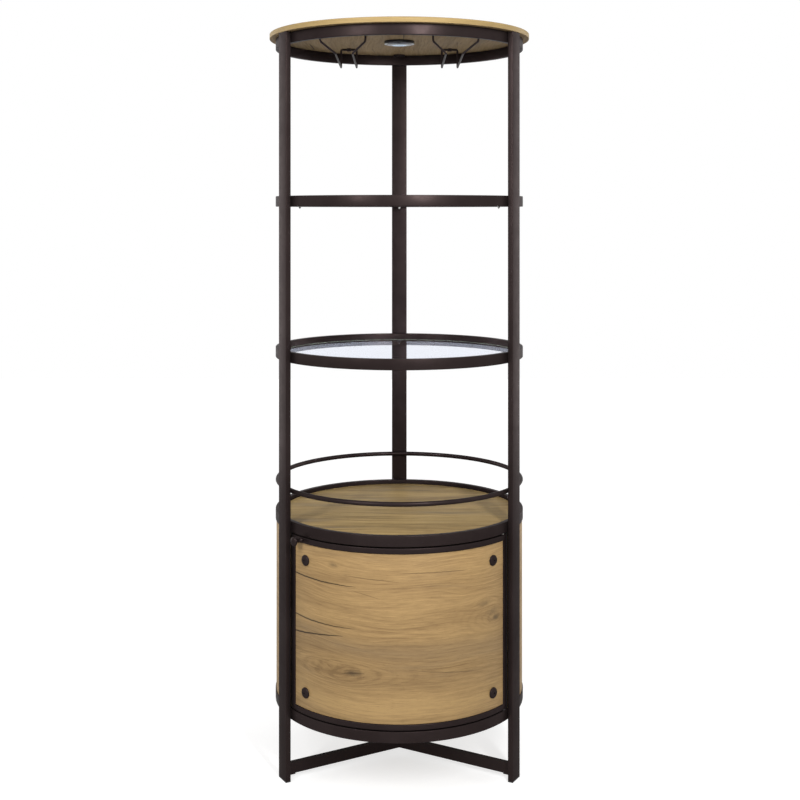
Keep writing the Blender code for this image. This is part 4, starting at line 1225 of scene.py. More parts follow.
def fastener_tree() -> GeometrySheet:
    """Build the tree that sets a domed head with a cross recess on each point, along its facing.

    Returns:
        The tree.
    """
    sheet = GeometrySheet("fastener heads", {
        "Head Radius": 0.004, "Head Height": 0.002, "Recess Width": 0.001, "Recess Length": 0.004,
        "Recess Depth": 0.0012, "Finish": None,
    }, takes_mesh=True)
    given = sheet.given
    inputs = {"Segments": 32, "Rings": 16, "Radius": given["Head Radius"]}
    ball = sheet.step("MeshUVSphere", inputs)
    flat = sheet.place(1.0, 1.0, sheet.math("DIVIDE", given["Head Height"], given["Head Radius"]))
    head = sheet.moved(ball, Scale=flat)
    wide = sheet.times(given["Head Radius"], 4.0)
    drop = sheet.place(0.0, 0.0, sheet.times(wide, -0.5))
    under = sheet.step("MeshCube", {"Size": sheet.place(wide, wide, wide)})
    under = sheet.moved(under, Translation=drop)
    deep = sheet.times(given["Recess Depth"], 2.0)
    slot = sheet.step("MeshCube", {"Size": sheet.place(given["Recess Length"], given["Recess Width"], deep)})
    quarter = sheet.moved(slot, Rotation=(0.0, 0.0, pi / 2))
    cross = sheet.step("MeshBoolean", {"Mesh 2": [slot, quarter]}, operation="UNION")
    recess = sheet.moved(cross, Translation=sheet.place(0.0, 0.0, given["Head Height"]))
    cut = sheet.step("MeshBoolean", {"Mesh 1": head, "Mesh 2": [under, recess]}, operation="DIFFERENCE")
    facing = sheet.step("InputNamedAttribute", {"Name": "facing"}, data_type="FLOAT_VECTOR")
    turn = sheet.node("FunctionNodeAlignRotationToVector", {"Vector": facing}, axis="Z").outputs[0]
    inputs = {"Points": given["Geometry"], "Instance": cut, "Rotation": turn}
    sheet.close(sheet.step("InstanceOnPoints", inputs))
    return sheet


def weld_bead_tree() -> GeometrySheet:
    """Build the tree that lays a weld's overlapping drops along a run of edges.

    Returns:
        The tree.
    """
    sizes = {"Bead Radius": 0.0014, "Spacing": 0.0013, "Seed": 3, "Finish": None}
    sheet = GeometrySheet("weld beads", sizes, takes_mesh=True)
    given = sheet.given
    path = sheet.step("MeshToCurve", {"Mesh": given["Geometry"]})
    inputs = {"Curve": path, "Length": given["Spacing"]}
    drops = sheet.step("ResampleCurve", inputs, mode="LENGTH")
    inputs = {"Radius": given["Bead Radius"], "Subdivisions": 2}
    ball = sheet.step("MeshIcoSphere", inputs)
    inputs = {"Min": 0.82, "Max": 1.12, "Seed": given["Seed"]}
    size = sheet.node("FunctionNodeRandomValue", inputs, data_type="FLOAT")
    scale = next(socket for socket in size.outputs if socket.enabled)
    inputs = {"Points": drops, "Instance": ball, "Scale": sheet.place(scale, scale, scale)}
    sheet.close(sheet.step("InstanceOnPoints", inputs))
    return sheet


def edge_run(points: Sequence[Point]) -> bpy.types.Mesh:
    """Join points by edges.

    Args:
        points: the points in order.

    Returns:
        The edges as a mesh.
    """
    mesh = bpy.data.meshes.new("edge_run")
    mesh.from_pydata([tuple(point) for point in points], [(i, i + 1) for i in range(len(points) - 1)], [])
    return mesh


@dataclass
class Maker:
    """A part of the cabinet that is made in the cabinet's finishes."""

    palette: Palette

    def coat(self, draft: Draft, name: str, *stands_for: str, body: Body = Body.CABINET) -> None:
        """Close a draft into a piece of powder-coated steel.

        Args:
            draft: the piece's mesh.
            name: the piece's name.
            *stands_for: the model's nodes that it replaces.
            body: what it moves with.
        """
        draft.make(name, [self.palette.bronze], body, stands_for)


@dataclass
class TopBoard(Maker):
    """The round top with its wrapped edge."""

    edge_round: float = 0.0016
    level: float = 0.7

    def build(self) -> None:
        """Turn the board, and dress its faces and its edge apart."""
        low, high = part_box("top_panel")
        draft = Draft()
        draft.turn(board_rim(low, high, self.edge_round), ROUND_STEPS)
        draft.part_edge(self.level)
        draft.lay_grain(disc_grain("Y", high.x))
        finishes = [self.palette.top_oak, self.palette.edge_oak]
        draft.make("top_board", finishes, Body.CABINET, ["top_panel"])


@dataclass
class RingStack(Maker):
    """The five rolled rings, with their tabs and cleats."""

    tree: GeometrySheet
    names: tuple[str, ...] = (
        "top_ring", "shelf_ring_upper", "shelf_ring_lower", "drum_top_ring", "drum_bottom_ring",
    )
    radius: float = 0.305
    depth: float = 0.0127
    height: float = 0.0254
    corner: float = 0.0015
    root: float = 0.002
    tab: tuple[float, float] = (0.030, 0.030)
    tab_thickness: float = 0.0025
    tab_corner: float = 0.007
    tab_rise: float = 0.0005
    hole: float = 0.0028
    hole_at: float = 0.2723
    hole_steps: int = 24
    cleat: tuple[float, float] = (0.022, 0.020)
    cleat_corner: float = 0.006
    cleat_back: float = 0.2947
    cleat_hole: float = 0.002
    cleat_hole_steps: int = 20
    cleat_angles: tuple[float, ...] = (-150.0, -82.5, 82.5, 150.0)

    @property
    def inner(self) -> float:
        """The rings' inner radius."""
        return self.radius - self.depth

    def ring_foot(self, name: str) -> float:
        """Return the height of a ring's own underside, without its cleats."""
        return underside(name) if name != "drum_top_ring" else topside(name) - self.height

    def tab_foot(self, name: str) -> float:
        """Return the height of the underside of a ring's tabs."""
        rise = self.height - self.tab_thickness - self.tab_rise if name == "top_ring" else self.tab_rise
        return self.ring_foot(name) + rise

    def add_tabs(self, draft: Draft, foot: float) -> None:
        """Add a ring's three tabs, which point to the axis along their own +Y.

        Args:
            draft: the ring's draft.
            foot: the height of the tabs' underside.
        """
        outline = tongue(self.tab[0] / 2, -self.inner - self.root, self.tab[1] - self.inner, self.tab_corner)
        hole = ring_outline(self.hole, self.hole_steps, (0.0, -self.hole_at))
        for side in Side:
            draft.pierced(outline, hole, foot, foot + self.tab_thickness, turned_to(side.value))

    def add_cleats(self, draft: Draft, root: float, up: int) -> None:
        """Add a drum ring's four cleats.

        Args:
            draft: the ring's draft.
            root: the height where they leave the ring.
            up: 1 if they stand on the ring and -1 if they hang from it.
        """
        width, tall = self.cleat
        outline = tongue(width / 2, -self.root, tall, self.cleat_corner)
        hole = ring_outline(self.cleat_hole, self.cleat_hole_steps, (0.0, tall / 2))
        for angle in self.cleat_angles:
            place = outward(self.cleat_back, angle, root)
            if up < 0:
                place = place @ Matrix.Rotation(pi, 4, "Z")
            draft.pierced(outline, hole, 0.0, self.tab_thickness, place)

    def build(self) -> None:
        """Roll every ring."""
        for name in self.names:
            foot = self.ring_foot(name)
            draft = Draft()
            draft.add(self.tree.grow(
                Radius=self.radius, Depth=self.depth, Height=self.height, Corner=self.corner, Underside=foot,
                Finish=self.palette.bronze,
            ))
            self.add_tabs(draft, self.tab_foot(name))
            if name == "drum_top_ring":
                self.add_cleats(draft, foot, -1)
            if name == "drum_bottom_ring":
                self.add_cleats(draft, foot + self.height, 1)
            self.coat(draft, name + "_rolled", name)


@dataclass
class Legs(Maker):
    """The three flat tubes with the glides in their feet."""

    width: float = 0.040
    depth: float = 0.0127
    wall: float = 0.0015
    corner: float = 0.001
    centre: float = 0.31165
    glide: float = 0.003
    glide_edge: float = 0.0006
    plug: float = 0.014
    rib: float = 0.0008
    ribs: int = 3

    def section(self, inset: float, corner: float) -> Profile:
        """Return the tube's outline, drawn in by an inset."""
        x, y = self.width / 2 - inset, self.depth / 2 - inset
        return eased((-x, -y), (x, y), corner)

    def build(self) -> None:
        """Stand each leg on its glide."""
        outline = self.section(0.0, self.corner)
        tread = self.section(self.glide_edge, self.corner)
        bore = self.section(self.wall, self.corner / 2)
        plug = self.section(self.wall + FIT_GAP, self.corner / 2)
        for side in Side:
            name = side.name.lower()
            place = Matrix.Translation(polar(self.centre, side.value)) @ turned_to(side.value)
            low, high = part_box("leg_" + name)
            draft = Draft()
            draft.pierced(outline, bore, low.z, high.z, place)
            self.coat(draft, "leg_tube_" + name, "leg_" + name)
            draft = Draft()
            draft.bar(outline, self.glide_edge, self.glide, place)
            draft.bar(tread, 0.0, self.glide_edge, place)
            draft.bar(plug, self.glide, self.glide + self.plug, place)
            for rib in range(self.ribs):
                height = self.glide + self.plug * (rib + 1) / (self.ribs + 1)
                draft.bar(bore, height, height + self.rib, place)
            node = "foot_glide_" + name
            draft.make("glide_" + name, [self.palette.black], Body.CABINET, [node])


@dataclass
class Brace(Maker):
    """The Y-shaped brace near the floor."""

    width: float = 0.0127
    height: float = 0.0254
    edge_round: float = 0.0013
    crease: float = 0.5
    reach: float = 0.3047
    tongue_length: float = 0.018
    tongue_thickness: float = 0.0025

    def build(self) -> None:
        """Raise the three arms as one, round their edges and add the tongues."""
        half = self.width / 2
        inner = half / sin(pi / 3)
        outline = []
        for side in sorted(Side, key=lambda item: item.value):
            across = polar(half, side.value + 90.0)
            end = polar(self.reach, side.value)
            corner = polar(inner, side.value - 60.0)
            outline += [(corner.x, corner.y), *((end + sign * across).xy[:] for sign in (-1, 1))]
        top = topside("base_brace")
        foot = top - self.height
        draft = Draft()
        draft.bar(outline, foot, top)
        draft.ease_edges(self.crease, self.edge_round)
        end, root = -self.reach, self.tongue_length - self.reach
        plate = [(-half, end), (half, end), (half, root), (-half, root)]
        for side in Side:
            draft.bar(plate, foot - self.tongue_thickness, foot, turned_to(side.value))
        self.coat(draft, "brace_arms", "base_brace")


@dataclass
class GlassShelves(Maker):
    """Two glass discs on soft push-in bumpers."""

    radius: float = 0.2908
    arris: float = 0.0006
    level: float = 0.9
    hole_at: float = 0.2723
    bumper_radius: float = 0.006
    bumper_height: float = 0.0012
    bumper_edge: float = 0.0004
    bumper_steps: int = 32
    neck: float = 0.0025
    barb: float = 0.0036
    barb_length: float = 0.0055
    barb_edge: float = 0.0004
    point: float = 0.0014
    point_edge: float = 0.0003
    tab_thickness: float = 0.0025

    def bumper(self) -> Profile:
        """Outline a bumper, from its point to its rounded top.

        Returns:
            Points of (radius, height).
        """
        under = -self.tab_thickness - 2 * FIT_GAP
        tip = under - self.barb_length
        rim, top, edge = self.bumper_radius, self.bumper_height, self.bumper_edge
        return [
            (self.point * 0.5, tip), (self.point, tip + self.point_edge),
            (self.barb, under - self.barb_edge), (self.barb, under), (self.neck, under), (self.neck, 0.0),
            (rim, 0.0), (rim, top - edge), (rim - edge * 0.3, top - edge * 0.3), (rim - edge, top),
        ]

    def pane(self, low: float, high: float) -> Profile:
        """Return a disc's turned outline, with a fine bevel on both edges."""
        radius, arris = self.radius, self.arris
        return [(radius - arris, low), (radius, low + arris), (radius, high - arris), (radius - arris, high)]

    def build(self) -> None:
        """Lay both shelves."""
        for level in ("upper", "lower"):
            node = "glass_shelf_" + level
            low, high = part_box(node)
            draft = Draft()
            draft.turn(self.pane(low.z, high.z), ROUND_STEPS)
            draft.part_edge(self.level)
            finishes = [self.palette.glass, self.palette.glass_edge]
            pane = draft.make("glass_disc_" + level, finishes, Body.CABINET, [node])
            pane.visible_shadow = False
            for side in Side:
                place = f"{level}_{side.name.lower()}"
                node = "shelf_bumper_" + place
                seat = polar(self.hole_at, side.value, topside(node) - self.bumper_height)
                draft = Draft()
                draft.turn(self.bumper(), self.bumper_steps, place=Matrix.Translation(seat))
                draft.make("bumper_" + place, [self.palette.soft], Body.CABINET, [node])


@dataclass
class GalleryRail(Maker):
    """The round guard rail that lies against the legs."""

    outer: float = 0.305
    rod: float = 0.0055
    sides: int = 24

    def build(self) -> None:
        """Bend the rail."""
        low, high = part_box("gallery_rail")
        centre = (self.outer - self.rod, (low.z + high.z) / 2)
        draft = Draft()
        draft.turn(ring_outline(self.rod, self.sides, centre), ROUND_STEPS, wrap=True)
        self.coat(draft, "guard_rail", "gallery_rail")


@dataclass
class DrumBoards(Maker):
    """The drum's top board and its floor."""

    edge_round: float = 0.0006

    def build(self) -> None:
        """Turn both boards."""
        for place in ("top", "floor"):
            node = f"drum_{place}_panel"
            low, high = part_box(node)
            draft = Draft()
            draft.turn(board_rim(low, high, self.edge_round, THIN_STEPS), ROUND_STEPS)
            draft.lay_grain(disc_grain("X", high.x))
            draft.make(f"drum_{place}_board", [self.palette.drum_oak], Body.CABINET, [node])


@dataclass
class CurvedSides(Maker):
    """The two bent boards that close the drum between the legs."""

    inner: float = 0.298
    outer: float = 0.303
    start: float = 56.994
    end: float = 179.906
    edge_round: float = 0.0005
    steps: int = 96

    def build(self) -> None:
        """Bend both boards, and give their ends a near-black painted shade."""
        spread = self.end - self.start
        angles = [self.start + spread * step / self.steps for step in range(self.steps + 1)]
        finishes = [self.palette.side_oak_and_shade, self.palette.painted_end_shade]
        for name, sign in (("left", -1), ("right", 1)):
            node = "side_panel_" + name
            low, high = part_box(node)
            section = eased((self.inner, low.z), (self.outer, high.z), self.edge_round, THIN_STEPS)
            draft = Draft()
            draft.bend(section, [sign * angle for angle in angles])
            draft.lay_grain(round_grain(self.outer))
            for face in draft.mesh.faces:
                # Faces with more than four corners are the boards' ends, which take the near-black painted
                # shade.
                face.material_index = 1 if len(face.verts) > 4 else 0
            draft.make("bent_side_" + name, finishes, Body.CABINET, [node])


@dataclass
class CurvedDoor(Maker):
    """The framed, curved door with its panel, gussets, nuts and knob."""

    outer: float = 0.305
    tube: float = 0.0127
    edge: float = 55.392
    window: float = 52.956
    edge_round: float = 0.0014
    crease: float = 0.7
    steps: int = 96
    panel_outer: float = 0.303
    panel_inner: float = 0.298
    panel_gap: float = 0.0005
    panel_edge: float = 0.0006
    gusset: tuple[float, float] = (0.052, 0.050)
    gusset_outer: float = 0.2971
    gusset_thickness: float = 0.002
    gusset_root: float = 0.3
    gusset_lap: float = 0.0015
    gusset_steps: int = 10
    clip: float = 0.010
    nut_radius: float = 0.0065
    nut_height: float = 0.005
    nut_bore: float = 0.0033
    nut_bore_steps: int = 24
    bolt_angle: float = 45.487
    bolt_seat: float = 0.3033
    bolt_head: float = 0.0125
    bolt_edge: float = 0.0004
    bolt_rim: float = 0.0016
    bolt_crown: float = 0.0039
    bolt_shank: float = 0.003
    bolt_tip: float = 0.001
    bolt_length: float = 0.012
    bolt_steps: int = 48
    bolt_crown_steps: int = 10
    recess: float = 0.0023
    recess_rim: float = 0.0008
    recess_depth: float = 0.0026
    lip_share: float = 0.975
    knob_angle: float = -48.2
    knob_seat: float = 0.3053
    knob_head: float = 0.011
    knob_reach: float = 0.026
    knob_tall: float = 0.008
    knob_rim: float = 0.003
    knob_top: float = 0.0006
    knob_steps: int = 64
    knob_crown_steps: int = 12
    knob_foot: tuple[tuple[float, float], ...] = (
        (0.002, -0.009), (0.002, 0.0), (0.0057, 0.0), (0.006, 0.0004), (0.006, 0.0022), (0.0057, 0.0030),
        (0.0050, 0.0042), (0.0045, 0.006),
    )
    knob_flare: tuple[tuple[float, float], ...] = (
        (0.0045, -0.002), (0.0050, -0.0006), (0.0072, 0.0), (0.0095, 0.0004), (0.0105, 0.0014),
    )

    @property
    def foot(self) -> float:
        """The height of the frame's lower edge."""
        return underside("door_frame")

    @property
    def head(self) -> float:
        """The height of the frame's upper edge."""
        return topside("door_frame")

    def bolt_heights(self) -> tuple[float, float]:
        """Return the heights of the lower and upper bolts."""
        low, high = (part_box(f"door_bolt_{end}_left") for end in ("bottom", "top"))
        return (low[0].z + low[1].z) / 2, (high[0].z + high[1].z) / 2

    def spread(self, edge: float) -> list[float]:
        """Return evenly spaced angles from one side of the door to the other."""
        return [edge * (2 * step / self.steps - 1) for step in range(self.steps + 1)]

    def add_frame(self, draft: Draft) -> None:
        """Draw the bent grid of the frame, leave its window open and round its edges.

        Args:
            draft: the door's draft.
        """
        angles = [-self.edge, *self.spread(self.window), self.edge]
        heights = [self.foot, self.foot + self.tube, self.head - self.tube, self.head]
        radii = (self.outer, self.outer - self.tube)
        mesh = draft.mesh
        grid = [[[mesh.verts.new(polar(r, a, z)) for z in heights] for a in angles] for r in radii]
        solid = {
            (column, row) for column in range(len(angles) - 1) for row in range(3)
            if not (row == 1 and 0 < column < len(angles) - 2)
        }
        for column, row in sorted(solid):
            for layer in grid:
                a, b = layer[column], layer[column + 1]
                mesh.faces.new((a[row], b[row], b[row + 1], a[row + 1]))
            sides = (
                ((column - 1, row), (column, row), (column, row + 1)),
                ((column + 1, row), (column + 1, row), (column + 1, row + 1)),
                ((column, row - 1), (column, row), (column + 1, row)),
                ((column, row + 1), (column, row + 1), (column + 1, row + 1)),
            )
            for beyond, first, second in sides:
                if beyond not in solid:
                    a, b = (grid[0][c][r] for c, r in (first, second))
                    c, d = (grid[1][c][r] for c, r in (second, first))
                    mesh.faces.new((a, b, c, d))
        bmesh.ops.recalc_face_normals(mesh, faces=mesh.faces)
        draft.ease_edges(self.crease, self.edge_round)

    def add_gussets(self, draft: Draft) -> None:
        """Add the four corner plates behind the panel.

        Args:
            draft: the door's draft.
        """
        root = self.window + self.gusset_root
        tip = self.window - degrees(self.gusset[0] / self.outer)
        clip = tip + degrees(self.clip / self.outer)
        run = [clip + (root - clip) * step / self.gusset_steps for step in range(self.gusset_steps + 1)]
        outer, inner = self.gusset_outer, self.gusset_outer - self.gusset_thickness
        for sign in (-1, 1):
            for base, up in ((self.foot + self.tube, 1), (self.head - self.tube, -1)):
                rows = []
                for angle in (tip, *run):
                    reach = self.gusset[1] - (self.clip if angle == tip else 0.0)
                    near, far = base - up * self.gusset_lap, base + up * reach
                    corners = ((inner, near), (outer, near), (outer, far), (inner, far))
                    rows.append([polar(radius, sign * angle, height) for radius, height in corners])
                draft.skin(rows)

    def add_nuts(self, draft: Draft) -> None:
        """Add the weld nuts behind the gussets.

        Args:
            draft: the door's draft.
        """
        inner = self.gusset_outer - self.gusset_thickness - self.nut_height
        hexagon = ring_outline(self.nut_radius, 6)
        bore = ring_outline(self.nut_bore, self.nut_bore_steps)
        for sign in (-1, 1):
            for height in self.bolt_heights():
                place = outward(inner, sign * self.bolt_angle, height)
                draft.pierced(hexagon, bore, 0.0, self.nut_height, place)

    def build(self) -> None:
        """Make the door's frame, panel, bolts and knob."""
        draft = Draft()
        self.add_frame(draft)
        self.add_gussets(draft)
        self.add_nuts(draft)
        self.coat(draft, "bent_door_frame", "door_frame", body=Body.DOOR)
        self.build_panel()
        self.build_bolts()
        self.build_knob()

    def build_panel(self) -> None:
        """Bend the panel inside the frame."""
        low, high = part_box("door_panel")
        edge = self.window - degrees(self.panel_gap / self.outer)
        section = eased((self.panel_inner, low.z), (self.panel_outer, high.z), self.panel_edge, THIN_STEPS)
        draft = Draft()
        draft.bend(section, self.spread(edge))
        draft.lay_grain(round_grain(self.panel_outer))
        draft.make("bent_door_panel", [self.palette.door_oak], Body.DOOR, ["door_panel"])

    def hexagon(self, level: float) -> list[Vector]:
        """Outline a bolt's recess, in step with a circle's points.

        Args:
            level: its height.

        Returns:
            The outline.
        """
        points = []
        for step in range(self.bolt_steps):
            turn = 2 * pi * step / self.bolt_steps
            reach = self.recess * cos(pi / 6) / cos((turn % (pi / 3)) - pi / 6)
            points.append(Vector((reach * cos(turn), reach * sin(turn), level)))
        return points

    def bolt_loops(self) -> list[list[Vector]]:
        """Draw a bolt, from the tip of its shank to the floor of its recess.

        Returns:
            Loops of points.
        """
        head, edge, tip = self.bolt_head, self.bolt_edge, -self.bolt_length
        outline = [
            (self.bolt_shank - self.bolt_tip, tip), (self.bolt_shank, tip + self.bolt_tip),
            (self.bolt_shank, 0.0), (head - edge, 0.0), (head, edge),
        ]
        crown = dome(head, self.bolt_rim, self.bolt_crown, self.bolt_crown_steps)
        outline += [(radius, level) for radius, level in crown if radius > self.recess + self.recess_rim]
        lip = self.bolt_rim + self.bolt_crown * self.lip_share
        floor = self.bolt_rim + self.bolt_crown - self.recess_depth
        loops = [circle(radius, self.bolt_steps, level) for radius, level in outline]
        return [*loops, self.hexagon(lip), self.hexagon(floor)]

    def build_bolts(self) -> None:
        """Turn the panel's four bolts, each with a hexagon recess in its low dome."""
        loops = self.bolt_loops()
        for column, sign in (("left", -1), ("right", 1)):
            for row, height in zip(("bottom", "top"), self.bolt_heights()):
                draft = Draft()
                draft.skin(loops, place=outward(self.bolt_seat, sign * self.bolt_angle, height))
                self.coat(draft, f"bolt_{row}_{column}", f"door_bolt_{row}_{column}", body=Body.DOOR)

    def build_knob(self) -> None:
        """Turn the mushroom knob."""
        low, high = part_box("door_knob")
        under = self.knob_reach - self.knob_tall
        flare = [(radius, under + level) for radius, level in self.knob_flare]
        rise = self.knob_tall - self.knob_rim
        cap = dome(self.knob_head, under + self.knob_rim, rise, self.knob_crown_steps)
        outline = [*self.knob_foot, *flare, *cap, (self.knob_top, self.knob_reach)]
        draft = Draft()
        place = outward(self.knob_seat, self.knob_angle, (low.z + high.z) / 2)
        draft.turn(outline, self.knob_steps, place=place)
        self.coat(draft, "turned_knob", "door_knob", body=Body.DOOR)


@dataclass
class StemwareRacks(Maker):
    """Two bent wires under the top, with the saddle clips on their rear loops."""

    tree: GeometrySheet
    offset: float = 0.1306
    rod_half: float = 0.0202
    reach: float = 0.150
    drop: float = 0.049
    mouth_half: float = 0.0525
    mouth_reach: float = 0.065
    mouth_rise: float = 0.0204
    seat: float = 0.008
    wire: float = 0.0025
    bend: float = 0.008
    loop_bend: float = 0.004
    clip_width: float = 0.010
    clip_ear: float = 0.008
    clip_thickness: float = 0.0015
    clip_hole: float = 0.0083
    clip_steps: int = 16

    def path(self, ceiling: float, offset: float) -> list[Vector]:
        """Place the corners of one rack's wire.

        Args:
            ceiling: the height of the top's underside.
            offset: the rack's place across the cabinet.

        Returns:
            The corners.
        """
        mouth_y = -self.reach - self.mouth_reach
        half = [
            (self.mouth_half, mouth_y, self.seat), (self.mouth_half, mouth_y, self.mouth_rise - self.drop),
            (self.rod_half, -self.reach, -self.drop), (self.rod_half, self.reach, -self.drop),
            (self.rod_half, self.reach, -FIT_GAP - self.wire),
        ]
        corners = half + [(-x, y, z) for x, y, z in reversed(half)]
        return [Vector((offset + x, y, ceiling + z)) for x, y, z in corners]

    def run(self, ceiling: float, offset: float) -> bpy.types.Mesh:
        """Join one rack's corners, and mark its rear loop's two as tight bends.

        Args:
            ceiling: the height of the top's underside.
            offset: the rack's place across the cabinet.

        Returns:
            The edges as a mesh.
        """
        corners = self.path(ceiling, offset)
        mesh = edge_run(corners)
        middle = len(corners) // 2
        marks = [1.0 if index in (middle - 1, middle) else 0.0 for index in range(len(corners))]
        mesh.attributes.new("tight", "FLOAT", "POINT").data.foreach_set("value", marks)
        return mesh

    def clip(self) -> Profile:
        """Outline a clip, seen from the side.

        Returns:
            Points of (along, upwards).
        """
        inner = self.wire + FIT_GAP
        outer = inner + self.clip_thickness
        ear = outer + self.clip_ear
        level = -FIT_GAP - self.wire
        turns = [pi + pi * step / self.clip_steps for step in range(self.clip_steps + 1)]
        inside = [(inner * cos(turn), level + inner * sin(turn)) for turn in turns]
        outside = [(-outer * cos(turn), level + outer * sin(turn)) for turn in turns]
        top, low = -FIT_GAP, -FIT_GAP - self.clip_thickness
        return [
            (-ear, top), (-inner, top), *inside, (inner, top), (ear, top),
            (ear, low), (outer, low), *outside, (-outer, low), (-ear, low),
        ]

    def build(self) -> None:
        """Bend both racks and clip them up."""
        ceiling = underside("top_panel")
        half = self.clip_width / 2
        for name, sign in (("left", -1), ("right", 1)):
            centre = sign * self.offset
            draft = Draft()
            draft.add(self.tree.grow(
                self.run(ceiling, centre), Wire_Radius=self.wire, Bend_Radius=self.bend,
                Loop_Bend_Radius=self.loop_bend, Finish=self.palette.bronze,
            ))
            self.coat(draft, "bent_rack_" + name, "stemware_rack_" + name)
            draft = Draft()
            outline = [(self.reach + y, ceiling + z) for y, z in self.clip()]
            draft.skin([[(x, y, z) for y, z in outline] for x in (centre - half, centre + half)])
            self.coat(draft, "saddle_clip_" + name, "rack_clip_" + name)


@dataclass
class PushLamp(Maker):
    """The small round push lamp under the middle of the top."""

    radius: float = 0.0375
    height: float = 0.008
    wall: float = 0.0038
    edge_round: float = 0.0014
    edge_turns: tuple[float, ...] = (0.5, 0.9, 1.3)
    lip: float = 0.002
    lip_height: float = 0.0015
    lip_edge: float = 0.0004
    steps: int = 96
    board_radius: float = 0.020
    board_drop: float = 0.002
    board_thickness: float = 0.0012
    board_steps: int = 64
    lights: int = 6
    lights_at: float = 0.013
    light: tuple[float, float] = (0.0022, 0.0008)
    light_steps: int = 24
    switch_radii: tuple[float, float] = (0.0023, 0.0045)
    switch_height: float = 0.0026
    switch_steps: int = 32
    travel: float = 0.0015
    crown: float = 0.0022
    crown_steps: int = 12
    crown_top: float = 0.0008
    rim: float = 0.0006
    lens_wall: float = 0.0012
    flange: float = 0.0018
    post: float = 0.002

    @property
    def at(self) -> Matrix:
        """The place of the top's underside, which the lamp's heights start from."""
        return Matrix.Translation((0.0, 0.0, underside("top_panel")))

    @property
    def bottom(self) -> float:
        """The bezel's lower end."""
        return -FIT_GAP - self.height

    @property
    def board_low(self) -> float:
        """The board's lower face."""
        return -2 * FIT_GAP - self.board_drop - self.board_thickness

    def build(self) -> None:
        """Make the bezel, board and lens."""
        self.build_bezel()
        self.build_board()
        self.build_lens()

    def build_bezel(self) -> None:
        """Turn the ring round the lens, with its rounded outer edge and its lip."""
        inner = self.radius - self.wall
        lip, seat = inner - self.lip, self.bottom + self.lip_height
        bend = self.edge_round
        middle = (self.radius - bend, self.bottom + bend)
        section = [(inner, -FIT_GAP), (self.radius, -FIT_GAP), (self.radius, middle[1])]
        section += [(middle[0] + bend * cos(turn), middle[1] - bend * sin(turn)) for turn in self.edge_turns]
        section += [(lip + self.lip_edge, self.bottom), (lip, self.bottom + self.lip_edge)]
        section += [(lip, seat), (inner, seat)]
        draft = Draft()
        draft.turn(section, self.steps, wrap=True, place=self.at)
        draft.make("lamp_ring", [self.palette.gloss], Body.CABINET, ["lamp_bezel"])

    def build_board(self) -> None:
        """Make the board with its light sources and its switch."""
        low = self.board_low
        outline = [(self.board_radius, low), (self.board_radius, low + self.board_thickness)]
        draft = Draft()
        draft.turn(outline, self.board_steps, place=self.at)
        radius, tall = self.light
        for index in range(self.lights):
            place = self.at @ Matrix.Translation(polar(self.lights_at, 360.0 / self.lights * index))
            draft.turn([(radius, low - tall), (radius, low)], self.light_steps, place=place)
        inner, outer = self.switch_radii
        foot = low - self.switch_height
        section = [(inner, foot), (outer, foot), (outer, low), (inner, low)]
        draft.turn(section, self.switch_steps, wrap=True, place=self.at)
        draft.make("light_board", [self.palette.board], Body.CABINET, ["lamp_board"])

    def build_lens(self) -> None:
        """Make the domed lens with its flange and its post."""
        reach = self.radius - self.wall - FIT_GAP
        edge = reach - self.lip
        inner = edge - self.lens_wall
        seat = self.bottom + self.lip_height + FIT_GAP
        rim = self.bottom - self.rim
        middle = rim - self.crown
        outside = [(reach, seat + self.flange), (reach, seat), (edge, seat)]
        outside += [(r, 2 * rim - z) for r, z in dome(edge, rim, self.crown, self.crown_steps)]
        hollow = dome(inner, rim, self.crown, self.crown_steps)
        inside = [(r, 2 * rim - z + self.lens_wall) for r, z in hollow]
        front = [(self.crown_top, middle), *reversed(outside)]
        back = [
            (inner, seat + self.flange), *inside,
            (self.post, middle + self.lens_wall), (self.post, self.board_low - self.travel - FIT_GAP),
        ]
        draft = Draft()
        draft.turn(front + back, self.steps, place=self.at)
        draft.make("lamp_dome", [self.palette.lens], Body.LENS, ["lamp_lens"])


@dataclass(frozen=True)
class Screw:
    """One kind of small screw, seen as its domed head."""

    head: float
    tall: float
    bare: bool = False


